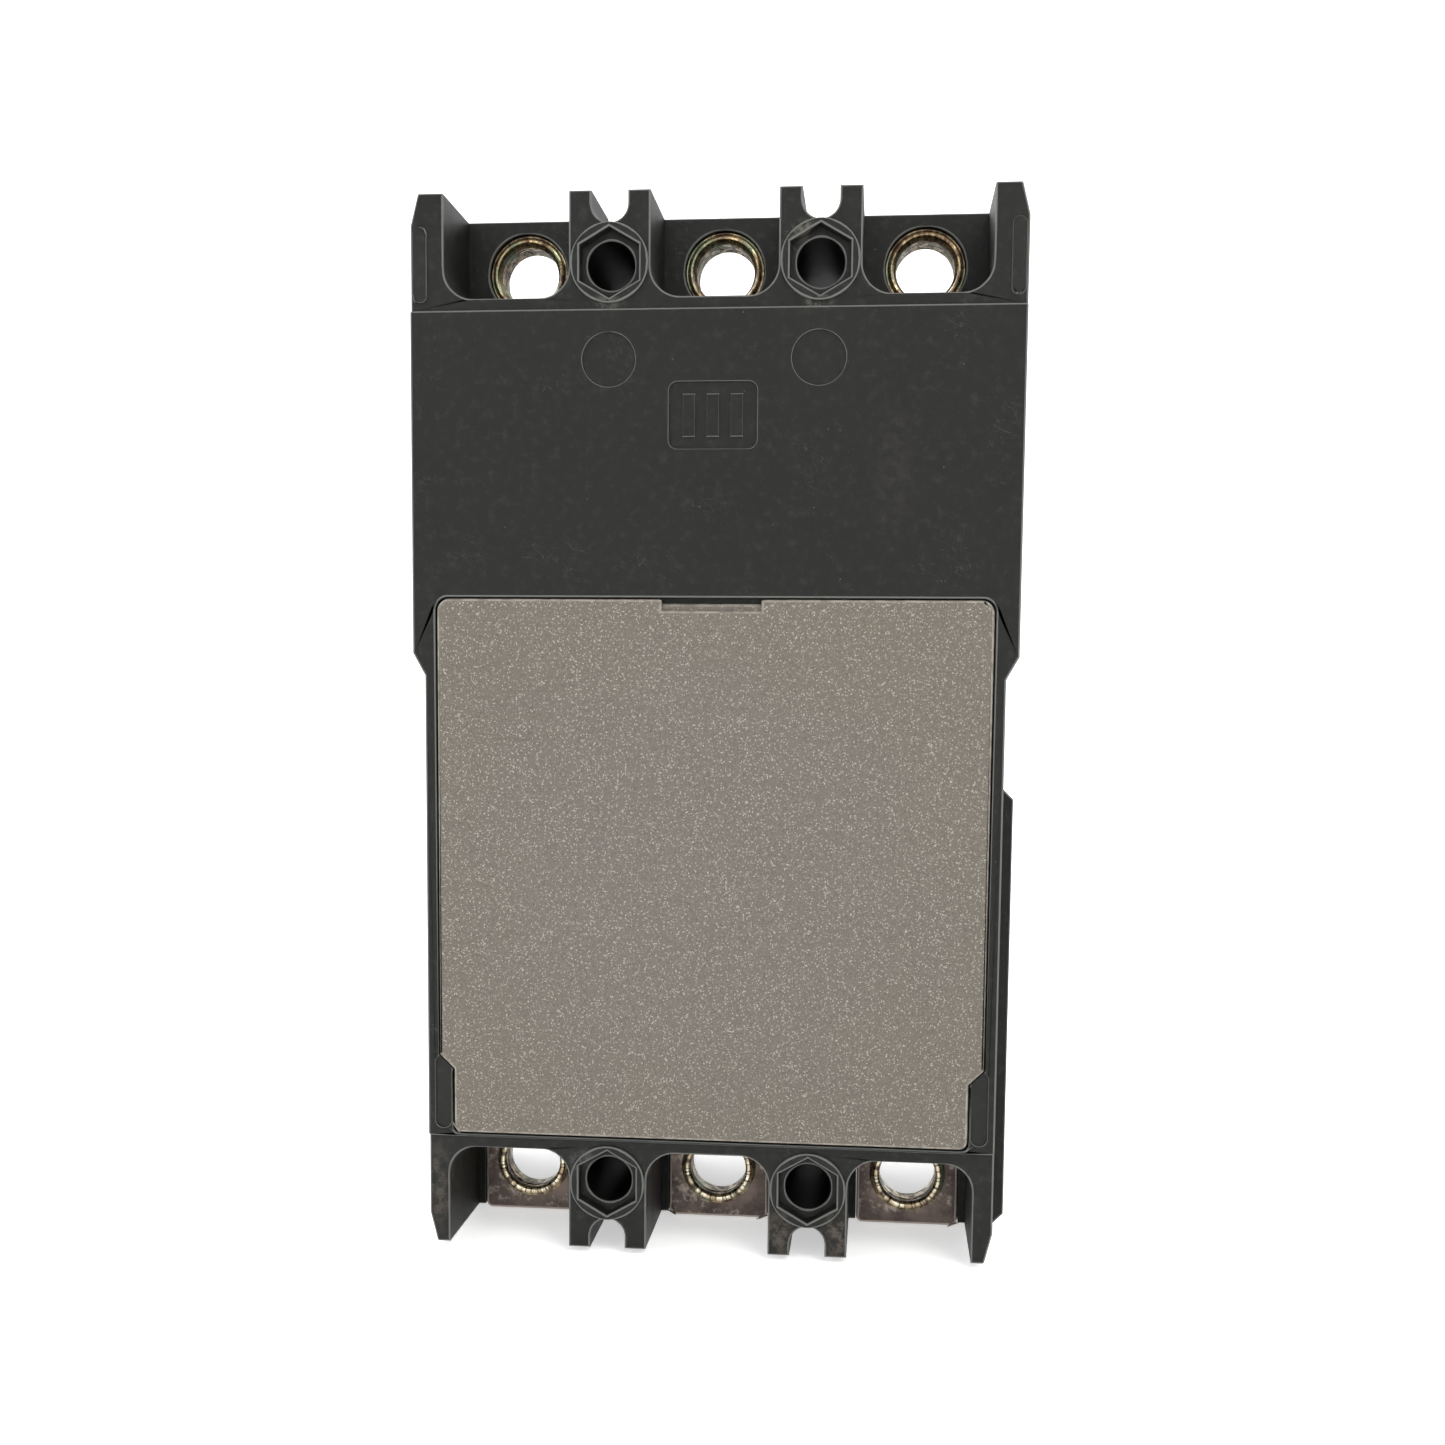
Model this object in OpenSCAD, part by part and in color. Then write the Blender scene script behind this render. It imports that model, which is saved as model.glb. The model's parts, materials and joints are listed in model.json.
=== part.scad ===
// Three-pole moulded case circuit breaker, in millimetres.
// +Z runs up the height of the case towards the line terminals. The rear mounting face is the plane
// y = 0 and the front faces -Y. The origin is midway between the four mounting holes.
// Sections are drawn in the plane (depth, z), where depth = -y grows from the rear towards the front.

/* [Case] */
// Distance between neighbouring poles, the case is three poles wide
pole_pitch = 35; // [34:0.5:44]
// Height of the case from line end to load end
case_h = 180; // [176:1:220]
// Depth from the rear face to the front of the nose
case_depth = 86; // [86:1:110]
// Depth of the base moulding, where the cover starts
base_depth = 50; // [49:0.5:60]
// How far the nose stands in front of the shoulders
nose_h = 12; // [8:0.5:12]
// Top and bottom of the nose
nose_z = [-48, 43]; // [-60:1:60]
// Thickness of the front walls of the cover
front_wall = 3; // [2:0.25:3]
// Thickness of the wall between two poles
pole_wall = 2.5; // [1.5:0.25:3]
// Thickness of the rear wall
rear_wall = 4.5; // [3.5:0.25:5]
// Thickness of the side walls at the widest part
side_wall = 6; // [5.5:0.25:8]

/* [Rear outline] */
// How much narrower each side is at the rear, line half
line_side_step = 1.2; // [0.5:0.1:2]
// How much narrower each side is at the rear, load half
load_side_step = 3.3; // [2:0.1:3.4]
// Depth at which the sides widen to the full width
side_step_depth = 20; // [12:0.5:30]
// Heights between which the two rear widths blend
side_step_z = [9.8, 13.6]; // [0:0.1:20]
// Depth of the recessed terminal zones at the rear
zone_recess = 0.6; // [0.2:0.1:1]

/* [Terminals] */
// Width of a terminal pocket
pocket_w = 21.3; // [20:0.1:24]
// Length of a terminal pocket from the end of the case
pocket_l = 17.3; // [16:0.1:19]
// Corner radius of a terminal pocket
pocket_r = 5; // [2:0.5:8]
// Distance from the end of the case to the terminal bolt
terminal_inset = 9.1; // [8.5:0.1:10]
// Depth of the rear face of the terminal bars
bar_depth = 21.5; // [20:0.5:24]
// Thickness of the terminal bars
bar_t = 4; // [3:0.5:5]
// Width of the terminal bars at the terminals
bar_w = 18.6; // [16:0.1:20]
// Width of the conductors inside the case
conductor_w = 12; // [8:0.5:14]
// Depth at which the moulded floor behind the line bars starts
floor_depth = 18; // [16:0.5:19]
// Radius of the through hole of a terminal collar
collar_bore_r = 5.1; // [4.2:0.1:5.2]
// Radius of the flange of a terminal collar
collar_flange_r = 6.9; // [6.5:0.1:7.4]
// Thickness of the side walls beside the terminals, in front of the bars
end_wall = 2.6; // [2:0.1:5]

/* [Mounting] */
// Distance from the end of the case to the mounting holes
mount_inset = 11.8; // [11.4:0.1:12.4]
// Radius of the mounting holes
mount_hole_r = 4; // [3:0.1:4.2]
// Radius of the driver access in front of the mounting holes
driver_r = 4.6; // [4.2:0.1:4.7]
// Size across flats of the hex nut pockets
nut_af = 10; // [8:0.1:10.4]
// Depth of the hex nut pockets
nut_pocket_h = 2.6; // [2:0.1:5]
// Radius of the raised ring around a nut pocket
boss_r = 6.6; // [6.4:0.1:6.8]
// Width of the barrier slots at the rear
slot_w = 6.1; // [4:0.1:7]
// Length of the barrier slots from the end of the case
slot_l = 5.2; // [4:0.1:5.4]
// Width of the barrier slots in front of the floor
slot_front_w = 8.7; // [6:0.1:9]

/* [Rear cover plate] */
// Thickness of the rear cover plate
plate_t = 1.7; // [1:0.1:2.2]
// Distance from the sides of the case to the rear cover plate, above and below its jog
plate_margin = [4.2, 4.6]; // [4:0.1:8]
// Height of the top of the rear cover plate
plate_top = 22.9; // [10:0.1:40]
// Height of the jog in the sides of the rear cover plate
plate_jog = -56.3; // [-58:0.1:-40]
// Gap around the rear cover plate
plate_gap = 0.25; // [0.15:0.05:0.5]

/* [Contacts] */
// Depth and height of the crossbar axis
crossbar_c = [37, -12]; // [30:1:45]
// Angle through which the crossbar opens
open_angle = 25; // [15:1:28]
// Distance from the crossbar axis to the contact tips
arm_reach = 46; // [42:0.5:48]
// Depth of the face of the fixed contacts
contact_face_depth = 22; // [20:0.5:24]
// Width of a contact arm
arm_w = 5; // [3:0.5:5]
// Thickness of a contact tip
tip_t = 2; // [1:0.25:2.5]
// Number of steel plates in an arc chute
arc_plates_n = 9; // [5:1:10]
// Thickness of an arc plate
arc_plate_t = 1; // [0.8:0.1:1.5]

/* [Handle and mechanism] */
// Depth and height of the handle axis
handle_c = [44, 0]; // [40:1:48]
// Half of the swing of the handle
handle_half_swing = 17; // [12:1:18]
// How far the handle stands in front of the nose
grip_l = 21; // [15:0.5:25]
// Width of the handle
handle_w = 16; // [12:0.5:18]
// Thickness of the handle neck
neck_t = 10; // [8:0.5:12]
// Depth and height of the cradle axis
cradle_c = [60, 24]; // [50:1:70]
// Depth and height of the toggle pivot on the cradle
knee_c = [60, 5]; // [50:1:70]
// Distance from the crossbar axis to the crank pins
crank_r = 13; // [12.5:0.1:14]
// Lengths of the lower and upper toggle links
link_l = [10, 9.6]; // [9:0.1:14]

/* [Trip unit] */
// Depth and height of the trip bar axis
trip_c = [55, -43]; // [50:1:60]
// Radius of the trip bar
trip_r = 2.5; // [2:0.1:3]
// Thickness of a bimetal strip
bimetal_t = 1; // [0.6:0.1:1.4]
// Radius of the push-to-trip button
button_r = 3; // [2.5:0.1:3.5]
// Sideways distance of the push-to-trip button from the left pole wall, and its height
button_at = [-6.5, -35]; // [-45:0.5:45]
// Sideways positions of the adjustment dials
dial_x = [18, 32]; // [16:0.5:40]
// Height of the adjustment dials
dial_z = -33; // [-36:0.5:-28]
// Radius of an adjustment dial
dial_r = 4.5; // [3:0.1:5]

/* [Hidden] */
$fn = 48;

POLES = [-1, 0, 1];
SIDES = [-1, 1];
running = 0.05;      // radial clearance of a shaft in its bearing
loose = 0.3;         // clearance between parts that move past each other
eps = 0.01;          // overlap that keeps cuts clean

case_w = 3 * pole_pitch;
half_w = case_w / 2;
end_z = case_h / 2;
wall_x = pole_pitch / 2;
cavity_x = half_w - side_wall;
pocket_z = end_z - pocket_l;
mount_z = end_z - mount_inset;
term_z = end_z - terminal_inset;
zone_z = pocket_z - 2;
compartment_z = end_z - 20;
plate_bottom = 0.7 - zone_z;
plate_half_w = half_w * [1, 1] - [line_side_step, load_side_step] - plate_margin;
chamber_z = end_z - 24;
bar_front = bar_depth + bar_t;
shoulder_depth = case_depth - nose_h;
end_depth = base_depth + 12;
end_chamfer = 2.6;
pocket_half = pocket_w / 2;

// Cover screws and their bosses
screw_r = 2;
screw_boss_r = 4;
screw_z = chamber_z - 5;
screw_head = [3.5, 3];
thread_gap = 0.02;

// Mechanism, worked out in the plane (depth, z) with the breaker off
off_crank = 45;
handle_off = -handle_half_swing;
frame_x = [12.5, 14];
arm_leg_x = [14.3, 15.5];
bridge_r = [32, 33.5];
shutter_r = [34.1, 35.6];
shutter_half_angle = 48;
cradle_tip_z = -14;
latch_c = [58, -24];
panel_t = 2.5;
panel_depth = case_depth - panel_t;
nose_wall_depth = panel_depth - front_wall;
window_half = (case_depth - handle_c[0]) * tan(handle_half_swing)
    + neck_t / 2 / cos(handle_half_swing) + 1.2;
nose_in_z = [nose_z[0] + 3, nose_z[1] - 3];
nose_half_w = half_w - 2.5;

crank_p = crossbar_c + crank_r * [cos(off_crank), sin(off_crank)];
toggle_p = elbow(crank_p, knee_c, link_l[0], link_l[1]);
tip_z = crossbar_c[1] + arm_reach;

// Point at distance p_l from p and k_l from k, on the load side of the line between them
function elbow(p, k, p_l, k_l) =
    let (span = norm(k - p),
         along = (p_l * p_l - k_l * k_l + span * span) / (2 * span),
         off = sqrt(p_l * p_l - along * along),
         u = (k - p) / span)
    p + along * u + off * [u[1], -u[0]];

// Limits that lie evenly on both sides of a middle
function around(middle, half) = [middle - half, middle + half];

// Box given by its limits in x, depth and z
module block(x, d, z) {
    translate([x[0], -d[1], z[0]]) cube([x[1] - x[0], d[1] - d[0], z[1] - z[0]]);
}

// Round bar or hole along the depth
module depth_rod(x, z, d, r) {
    translate([x, -d[0], z]) rotate([90, 0, 0]) cylinder(r = r, h = d[1] - d[0]);
}

// Round bar or hole along x, centred on a point of the (depth, z) plane
module cross_rod(c, x, r) {
    translate([x[0], -c[0], c[1]]) rotate([0, 90, 0]) cylinder(r = r, h = x[1] - x[0]);
}

// Extrudes a (depth, z) outline between two x positions
module section(x) {
    translate([x[1], 0, 0]) rotate([90, 0, -90]) linear_extrude(x[1] - x[0]) children();
}

// Extrudes an (x, z) outline between two depths
module slab(d) {
    translate([0, -d[0], 0]) rotate([90, 0, 0]) linear_extrude(d[1] - d[0]) children();
}

// Turns children about an axis along x; a positive angle closes the contacts
module turned(c, angle) {
    translate([0, -c[0], c[1]]) rotate([-angle, 0, 0]) translate([0, c[0], -c[1]]) children();
}

// Shape repeated on both sides of the middle plane
module both_sides() {
    for (s = SIDES) scale_side(s) children();
}

module scale_side(s) {
    if (s < 0) mirror([1, 0, 0]) children();
    else children();
}

// Shape repeated at the four corners
module four_corners() {
    both_sides() {
        children();
        mirror([0, 0, 1]) children();
    }
}

// Rectangle with round corners, given by its limits
module round_rect(x, z, r) {
    translate([x[0] + r, z[0]]) square([x[1] - x[0] - 2 * r, z[1] - z[0]]);
    translate([x[0], z[0] + r]) square([x[1] - x[0], z[1] - z[0] - 2 * r]);
    for (px = [x[0] + r, x[1] - r], pz = [z[0] + r, z[1] - r]) translate([px, pz]) circle(r);
}

// Bar with round ends between two points of a plane
module bar_2d(a, b, r) {
    d = b - a;
    translate(a) circle(r);
    translate(b) circle(r);
    translate(a) rotate(atan2(d[1], d[0])) translate([0, -r]) square([norm(d), 2 * r]);
}

// Sector of a ring
module arc_2d(r, half_angle) {
    far = 2 * r[1];
    difference() {
        circle(r[1], $fn = 96);
        circle(r[0], $fn = 96);
        for (s = SIDES) rotate(s * half_angle) translate([-far, s > 0 ? 0 : -far]) square([2 * far, far]);
    }
}

// Round wire wound on a helix along +Z from the origin
module coil(coil_r, wire_r, height, turns) {
    steps = 14;
    sides = 6;
    rings = turns * steps;
    points = [
        for (i = [0:rings], k = [0:sides - 1])
            let (a = 360 * i / steps, b = 360 * k / sides, r = coil_r + wire_r * cos(b))
            [r * cos(a), r * sin(a), wire_r + (height - 2 * wire_r) * i / rings + wire_r * sin(b)]
    ];
    walls = [
        for (i = [0:rings - 1], k = [0:sides - 1])
            let (n = (k + 1) % sides, a = i * sides)
            [a + k, a + n, a + sides + n, a + sides + k]
    ];
    ends = [[for (k = [sides - 1:-1:0]) k], [for (k = [0:sides - 1]) rings * sides + k]];
    polyhedron(points = points, faces = concat(walls, ends), convexity = turns);
}

// Outline of the case at the rear, where the load half is narrower
module rear_outline() {
    line_half = half_w - line_side_step;
    load_half = half_w - load_side_step;
    for (s = SIDES) {
        flip = s < 0 ? [1, 0] : [0, 0];
        mirror(flip) polygon([
            [0, -end_z], [load_half - end_chamfer / 2, -end_z], [load_half, -end_z + 2 * end_chamfer],
            [load_half, side_step_z[0]], [line_half, side_step_z[1]],
            [line_half, end_z - 2 * end_chamfer], [line_half - end_chamfer / 2, end_z], [0, end_z]
        ]);
    }
}

// Outline of the case in front of the side steps, with a finger recess in each side
module full_outline() {
    recess = half_w - load_side_step;
    recess_z = [-8, 12];
    for (s = SIDES) {
        flip = s < 0 ? [1, 0] : [0, 0];
        mirror(flip) polygon([
            [0, -end_z], [half_w - end_chamfer, -end_z], [half_w, -end_z + end_chamfer],
            [half_w, recess_z[0] - load_side_step], [recess, recess_z[0]],
            [recess, recess_z[1]], [half_w, recess_z[1] + load_side_step],
            [half_w, end_z - end_chamfer], [half_w - end_chamfer, end_z], [0, end_z]
        ]);
    }
}

// Outline of a terminal pocket, open at the line end
module pocket_outline() {
    round_rect([-pocket_half, pocket_half], [pocket_z, end_z + 2 * pocket_r], pocket_r);
}

// Chamber of one pole between two depths
module pole_chamber(i, d) {
    inner = [i * pole_pitch - wall_x + pole_wall / 2, i * pole_pitch + wall_x - pole_wall / 2];
    x = [max(inner[0], -cavity_x), min(inner[1], cavity_x)];
    block(x, d, [-chamber_z, chamber_z]);
}

// Cable compartments in front of the terminal bars, open to the ends and to the front
module terminal_compartments(d) {
    outer = half_w - end_wall;
    for (i = POLES, z = [[compartment_z, end_z + 1], [-end_z - 1, -compartment_z]])
        block([i < 0 ? -outer : i * pole_pitch - pocket_half, i > 0 ? outer : i * pole_pitch + pocket_half], d, z);
}

// Barrier slot at the line end
module barrier_slot() {
    slab([-1, floor_depth]) {
        translate([wall_x, end_z - slot_l + slot_w / 2]) circle(slot_w / 2);
        translate([wall_x - slot_w / 2, end_z - slot_l + slot_w / 2]) square([slot_w, slot_l]);
    }
    block([wall_x - slot_front_w / 2, wall_x + slot_front_w / 2], [floor_depth - eps, case_depth],
        [end_z - slot_l, end_z + 1]);
}

// Outline of the rear cover plate, grown by a gap
module plate_outline(gap) {
    top = plate_top + gap;
    jog = plate_jog;
    bottom = plate_bottom - gap;
    wide = plate_half_w[0] + gap;
    narrow = plate_half_w[1] + gap;
    r = 2.2;
    round_rect([-wide, wide], [jog, top], r);
    translate([-wide, jog]) square([2 * wide, 2 * r]);
    round_rect([-narrow, narrow], [bottom, jog + 2 * r], 1.4);
    polygon([[-wide, jog + eps], [wide, jog + eps], [narrow, jog - 2.4], [-narrow, jog - 2.4]]);
}

peg_at = [38, 12];
peg_r = 2;
peg_l = 2;

module rear_cover_pegs(r, l) {
    for (s = SIDES, z = [peg_at[1], peg_at[1] - 70]) depth_rod(s * peg_at[0], z, [plate_t - eps, plate_t + l], r);
}

module rear_cover() {
    notch_half = 8.4;
    color("#91897f") {
        difference() {
            slab([0, plate_t]) plate_outline(0);
            block([-notch_half, notch_half], [-1, plate_t / 2], [plate_top - 1.9, plate_top + 1]);
            block([-notch_half, notch_half], [0, plate_t + 1], [plate_top - 0.7, plate_top + 1]);
        }
        rear_cover_pegs(peg_r, peg_l);
    }
}

// Ledges in the middle pole that carry the mechanism frame
ledge_z = [[20, 28], [-34, -26]];
ledge_depth = 22;

// Rest under a conductor, which is set on the rear wall
module conductor_rest(x, z, d) {
    block([x - conductor_w / 2, x + conductor_w / 2], [rear_wall - eps, d], z);
}

// Open bearing for a shaft that is laid in from the front
module open_bearing(c, r, front) {
    x = [wall_x - pole_wall, wall_x + pole_wall];
    cross_rod(c, x, r);
    block(x, [c[0], front], [c[1] - r, c[1] + r]);
}

journal_r = 5;
barrel_r = 7;
tower_z = [trip_c[1] - 6, trip_c[1] + 6];
tower_depth = trip_c[0] + trip_r + 4;
line_run_depth = [8, 11];
load_leg_z = trip_c[1] - 14;

module base() {
    color("#373a38") difference() {
        union() {
            difference() {
                union() {
                    slab([0, side_step_depth]) rear_outline();
                    slab([side_step_depth - eps, base_depth]) full_outline();
                }
                for (i = POLES) pole_chamber(i, [rear_wall, base_depth + 1]);
                // Recessed terminal zones
                for (s = SIDES) block([-half_w, half_w], [-1, zone_recess],
                    s > 0 ? [zone_z, end_z + 1] : [-end_z - 1, -zone_z]);
            }
            // Raised rings around the nut pockets, and rubbing pads at the line end
            four_corners() depth_rod(wall_x, mount_z, [0, 2], boss_r);
            both_sides() slab([0.2, 2]) round_rect([half_w - 4, half_w - 1.6], [pocket_z - 0.6, pocket_z + 11.8], 1.1);
            // Bosses for the cover screws
            four_corners() depth_rod(wall_x, screw_z, [rear_wall - eps, base_depth], screw_boss_r);
            // Ledges for the mechanism frame
            both_sides() for (z = ledge_z)
                block([frame_x[0] - 1, wall_x], [rear_wall - eps, ledge_depth], z);
            for (i = POLES) {
                conductor_rest(i * pole_pitch, [tip_z + 4, tip_z + 12], line_run_depth[0]);
                conductor_rest(i * pole_pitch, [tip_z - 11, tip_z - 5], line_run_depth[0]);
                conductor_rest(i * pole_pitch, [load_leg_z - 7, load_leg_z - 3.5], bar_depth);
            }
            // Towers that carry the trip bar
            both_sides() block([wall_x - pole_wall / 2, wall_x + pole_wall / 2],
                [base_depth - eps, tower_depth], tower_z);
        }
        terminal_compartments([bar_front, base_depth + 1]);
        // Terminal pockets at the rear
        for (i = POLES) translate([i * pole_pitch, 0, 0]) {
            slab([-1, floor_depth]) pocket_outline();
            mirror([0, 0, 1]) slab([-1, bar_depth]) pocket_outline();
            // Passages for the bars, and arc vents above the line bars
            for (z = [[chamber_z - 1, end_z + 1], [-end_z - 1, -chamber_z + 1]])
                block([-bar_w / 2 - 0.1, bar_w / 2 + 0.1], [bar_depth, bar_front + 0.1], z);
            for (d = [30, 36, 42]) block([-7, 7], [d, d + 3], [chamber_z - 1, compartment_z + 1]);
            // Hole in the moulded floor for the collar
            depth_rod(0, term_z, [floor_depth - 1, bar_depth + 1], collar_flange_r + 0.1);
        }
        // Mounting holes with hex nut pockets
        four_corners() {
            depth_rod(wall_x, mount_z, [-1, base_depth + 1], mount_hole_r);
            depth_rod(wall_x, mount_z, [24, base_depth + 1], driver_r);
            translate([wall_x, 1, mount_z]) rotate([90, 0, 0]) rotate(30)
                cylinder(r = nut_af / 2 / cos(30), h = nut_pocket_h + 1, $fn = 6);
            barrier_slot();
            depth_rod(wall_x, screw_z, [20, base_depth + 1], screw_r + thread_gap);
        }
        // Bearings of the crossbar and the trip bar
        both_sides() {
            open_bearing(crossbar_c, journal_r + running, base_depth + 1);
            open_bearing(trip_c, trip_r + running, tower_depth + 1);
        }
        // Recess and peg holes of the rear cover plate
        slab([-1, plate_t]) plate_outline(plate_gap);
        rear_cover_pegs(peg_r + running, peg_l + 0.2);
        // Shallow marks in the rear face
        both_sides() {
            depth_rod(wall_x, zone_z - 8.3, [-1, 0.3], 4.5);
            slab([-1, 0.35]) round_rect([plate_half_w[1] + 0.5, plate_half_w[1] + 3.3],
                [plate_bottom + 0.8, plate_jog - 0.1], 1.3);
        }
        difference() {
            slab([-1, 0.4]) round_rect([-7.4, 7.4], [zone_z - 23, zone_z - 12], 1.5);
            for (x = [-4, 0, 4]) block([x - 1, x + 1], [0.1, 1], [zone_z - 21, zone_z - 14]);
        }
    }
}

// Bore of the cover around the button, with a lip that carries the spring
button_tube = [4.8, 6.2];
button_lip_depth = [nose_wall_depth - 15.5, nose_wall_depth - 14];
button_shaft_r = 2;
button_x = button_at[0] - wall_x;
dial_flange_r = 6;

module cover() {
    nose_r = 3;
    nose_slab = [shoulder_depth - eps, case_depth];
    window_x = handle_w / 2 + 1;
    color("#3b3e3c") difference() {
        union() {
            difference() {
                union() {
                    slab([base_depth, end_depth]) full_outline();
                    difference() {
                        slab([end_depth - eps, shoulder_depth]) full_outline();
                        for (s = SIDES) mirror([0, 0, s < 0 ? 1 : 0])
                            block([-half_w - 1, half_w + 1], [end_depth - 1, case_depth], [compartment_z, end_z + 1]);
                    }
                    slab(nose_slab) round_rect([-nose_half_w, nose_half_w], nose_z, nose_r);
                }
                for (i = POLES) pole_chamber(i, [base_depth - 1, shoulder_depth - front_wall]);
                block([-cavity_x, cavity_x], [shoulder_depth - front_wall - 2, nose_wall_depth], nose_in_z);
                // Seat of the accessory cover
                slab([panel_depth, case_depth + 1]) round_rect([-nose_half_w + 2.5, nose_half_w - 2.5],
                    [nose_z[0] + 2.5, nose_z[1] - 2.5], nose_r);
            }
            four_corners() depth_rod(wall_x, screw_z, [base_depth, shoulder_depth - 1], screw_boss_r);
            depth_rod(button_x, button_at[1], [button_lip_depth[0], nose_wall_depth + eps], button_tube[1]);
            // Tongues that keep the crossbar in its bearings
            both_sides() block([wall_x - pole_wall / 2, wall_x + pole_wall / 2],
                [crossbar_c[0] + journal_r + loose, base_depth + 1],
                [crossbar_c[1] - journal_r + loose, crossbar_c[1] + journal_r - loose]);
            // Bosses for the accessory cover screws
            both_sides() depth_rod(nose_half_w - 8, nose_z[1] - 8, [nose_wall_depth - 8, nose_wall_depth + 1], 4);
        }
        terminal_compartments([base_depth - 1, end_depth + 1]);
        four_corners() {
            depth_rod(wall_x, mount_z, [base_depth - 1, end_depth + 1], driver_r);
            barrier_slot();
            depth_rod(wall_x, screw_z, [base_depth - 1, shoulder_depth + 1], screw_r + 0.25);
            depth_rod(wall_x, screw_z, [shoulder_depth - screw_head[1] - 0.5, shoulder_depth + 1], screw_head[0] + 0.3);
        }
        // Room for the trip bar and its towers
        block([-cavity_x, cavity_x], [base_depth - 1, tower_depth + 1], tower_z + [-14, 2]);
        // Handle window, with room for the shutter behind it
        block([-window_x, window_x], [nose_wall_depth - 1, case_depth], [-window_half, window_half]);
        // Button bore, spring chamber and lip
        depth_rod(button_x, button_at[1], [button_lip_depth[1], nose_wall_depth], button_tube[0]);
        depth_rod(button_x, button_at[1], [button_lip_depth[0] - 1, case_depth], button_shaft_r + 0.1);
        depth_rod(button_x, button_at[1], [nose_wall_depth - 1, case_depth], button_r + running);
        for (x = dial_x) depth_rod(x, dial_z, [nose_wall_depth - 1, case_depth], dial_r + running);
        both_sides() depth_rod(nose_half_w - 8, nose_z[1] - 8, [nose_wall_depth - 7, case_depth], 1.5 + thread_gap);
    }
}

label_at = [[-43, -14], [4, 30]];
panel_hole = 0.4;

module accessory_cover() {
    gap = 0.2;
    x = nose_half_w - 2.5 - gap;
    color("#454846") difference() {
        slab([panel_depth, case_depth]) round_rect([-x, x], [nose_z[0] + 2.5 + gap, nose_z[1] - 2.5 - gap], 2.8);
        block([-handle_w / 2 - 1, handle_w / 2 + 1], [panel_depth - 1, case_depth + 1], [-window_half, window_half]);
        slab([case_depth - 0.5, case_depth + 1]) round_rect(label_at[0] + [-0.1, 0.1], label_at[1] + [-0.1, 0.1], 1);
        // Raised frame around the handle window, left by sinking the field beside it
        slab([case_depth - 0.4, case_depth + 1]) round_rect([14, 43], [6, 33], 1);
        depth_rod(button_x, button_at[1], [panel_depth - 1, case_depth + 1], button_r + panel_hole);
        for (px = dial_x) depth_rod(px, dial_z, [panel_depth - 1, case_depth + 1], dial_r + panel_hole);
        both_sides() {
            depth_rod(nose_half_w - 8, nose_z[1] - 8, [panel_depth - 1, case_depth + 1], 1.75);
            depth_rod(nose_half_w - 8, nose_z[1] - 8, [case_depth - 1.4, case_depth + 1], 3.2);
        }
    }
}

module rating_label() {
    color("#d9d9d4") slab([case_depth - 0.5, case_depth - 0.1]) round_rect(label_at[0], label_at[1], 1);
}

module screw_head_cut(x, z, depth, r) {
    block([x - r, x + r], [depth - 1.2, depth + 1], [z - 0.5, z + 0.5]);
    block([x - 0.5, x + 0.5], [depth - 1.2, depth + 1], [z - r, z + r]);
}

module cover_screws() {
    seat = shoulder_depth - screw_head[1] - 0.5;
    color("#b9bcbd") four_corners() difference() {
        union() {
            depth_rod(wall_x, screw_z, [21, seat + 1], screw_r);
            depth_rod(wall_x, screw_z, [seat, seat + screw_head[1]], screw_head[0]);
        }
        screw_head_cut(wall_x, screw_z, seat + screw_head[1], 2.2);
    }
}

module accessory_cover_screws() {
    x = nose_half_w - 8;
    z = nose_z[1] - 8;
    color("#b9bcbd") both_sides() difference() {
        union() {
            depth_rod(x, z, [nose_wall_depth - 6, case_depth - 1], 1.5);
            depth_rod(x, z, [case_depth - 1.4, case_depth - 0.1], 3);
        }
        screw_head_cut(x, z, case_depth + 0.5, 1.9);
    }
}

// Line conductor: terminal bar, step to the rear, and a loop back under the fixed contact
module line_terminal(i) {
    x = i * pole_pitch;
    drop_z = chamber_z - 3.4;
    loop_z = tip_z - 12;
    loop_top = [contact_face_depth - tip_t - 3, contact_face_depth - tip_t];
    color("#9a6b55") difference() {
        union() {
            block([x - bar_w / 2, x + bar_w / 2], [bar_depth, bar_front], [chamber_z - 0.4, end_z - 0.6]);
            block([x - conductor_w / 2, x + conductor_w / 2], [bar_depth, bar_front], [drop_z, chamber_z]);
            block([x - conductor_w / 2, x + conductor_w / 2], [line_run_depth[0], bar_front], [drop_z, drop_z + 3]);
            block([x - conductor_w / 2, x + conductor_w / 2], line_run_depth, [loop_z, drop_z + 1]);
            block([x - conductor_w / 2, x + conductor_w / 2], [line_run_depth[0], loop_top[1]], [loop_z, loop_z + 3]);
            block([x - conductor_w / 2, x + conductor_w / 2], loop_top, [loop_z, tip_z + 5]);
        }
        depth_rod(x, term_z, [bar_depth - 1, bar_front + 1], collar_flange_r - 0.9);
    }
}

// Load conductor: terminal bar, heater leg and strap to the braid
module load_terminal(i) {
    x = i * pole_pitch;
    strap_depth = [37, 40];
    color("#9a6b55") difference() {
        union() {
            slab([bar_depth, bar_front])
                round_rect([x - bar_w / 2, x + bar_w / 2], [-end_z - 0.6, -chamber_z + 0.4], 1.2);
            block([x - conductor_w / 2, x + conductor_w / 2], [bar_depth, bar_front], [-chamber_z, load_leg_z]);
            block([x - conductor_w / 2, x + conductor_w / 2], [bar_depth, strap_depth[1]],
                [load_leg_z - 3, load_leg_z]);
            block([x - conductor_w / 2, x + conductor_w / 2], strap_depth, [load_leg_z - 3, load_leg_z + 17]);
        }
        depth_rod(x, -term_z, [bar_depth - 1, bar_front + 1], collar_flange_r - 0.9);
    }
}

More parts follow.
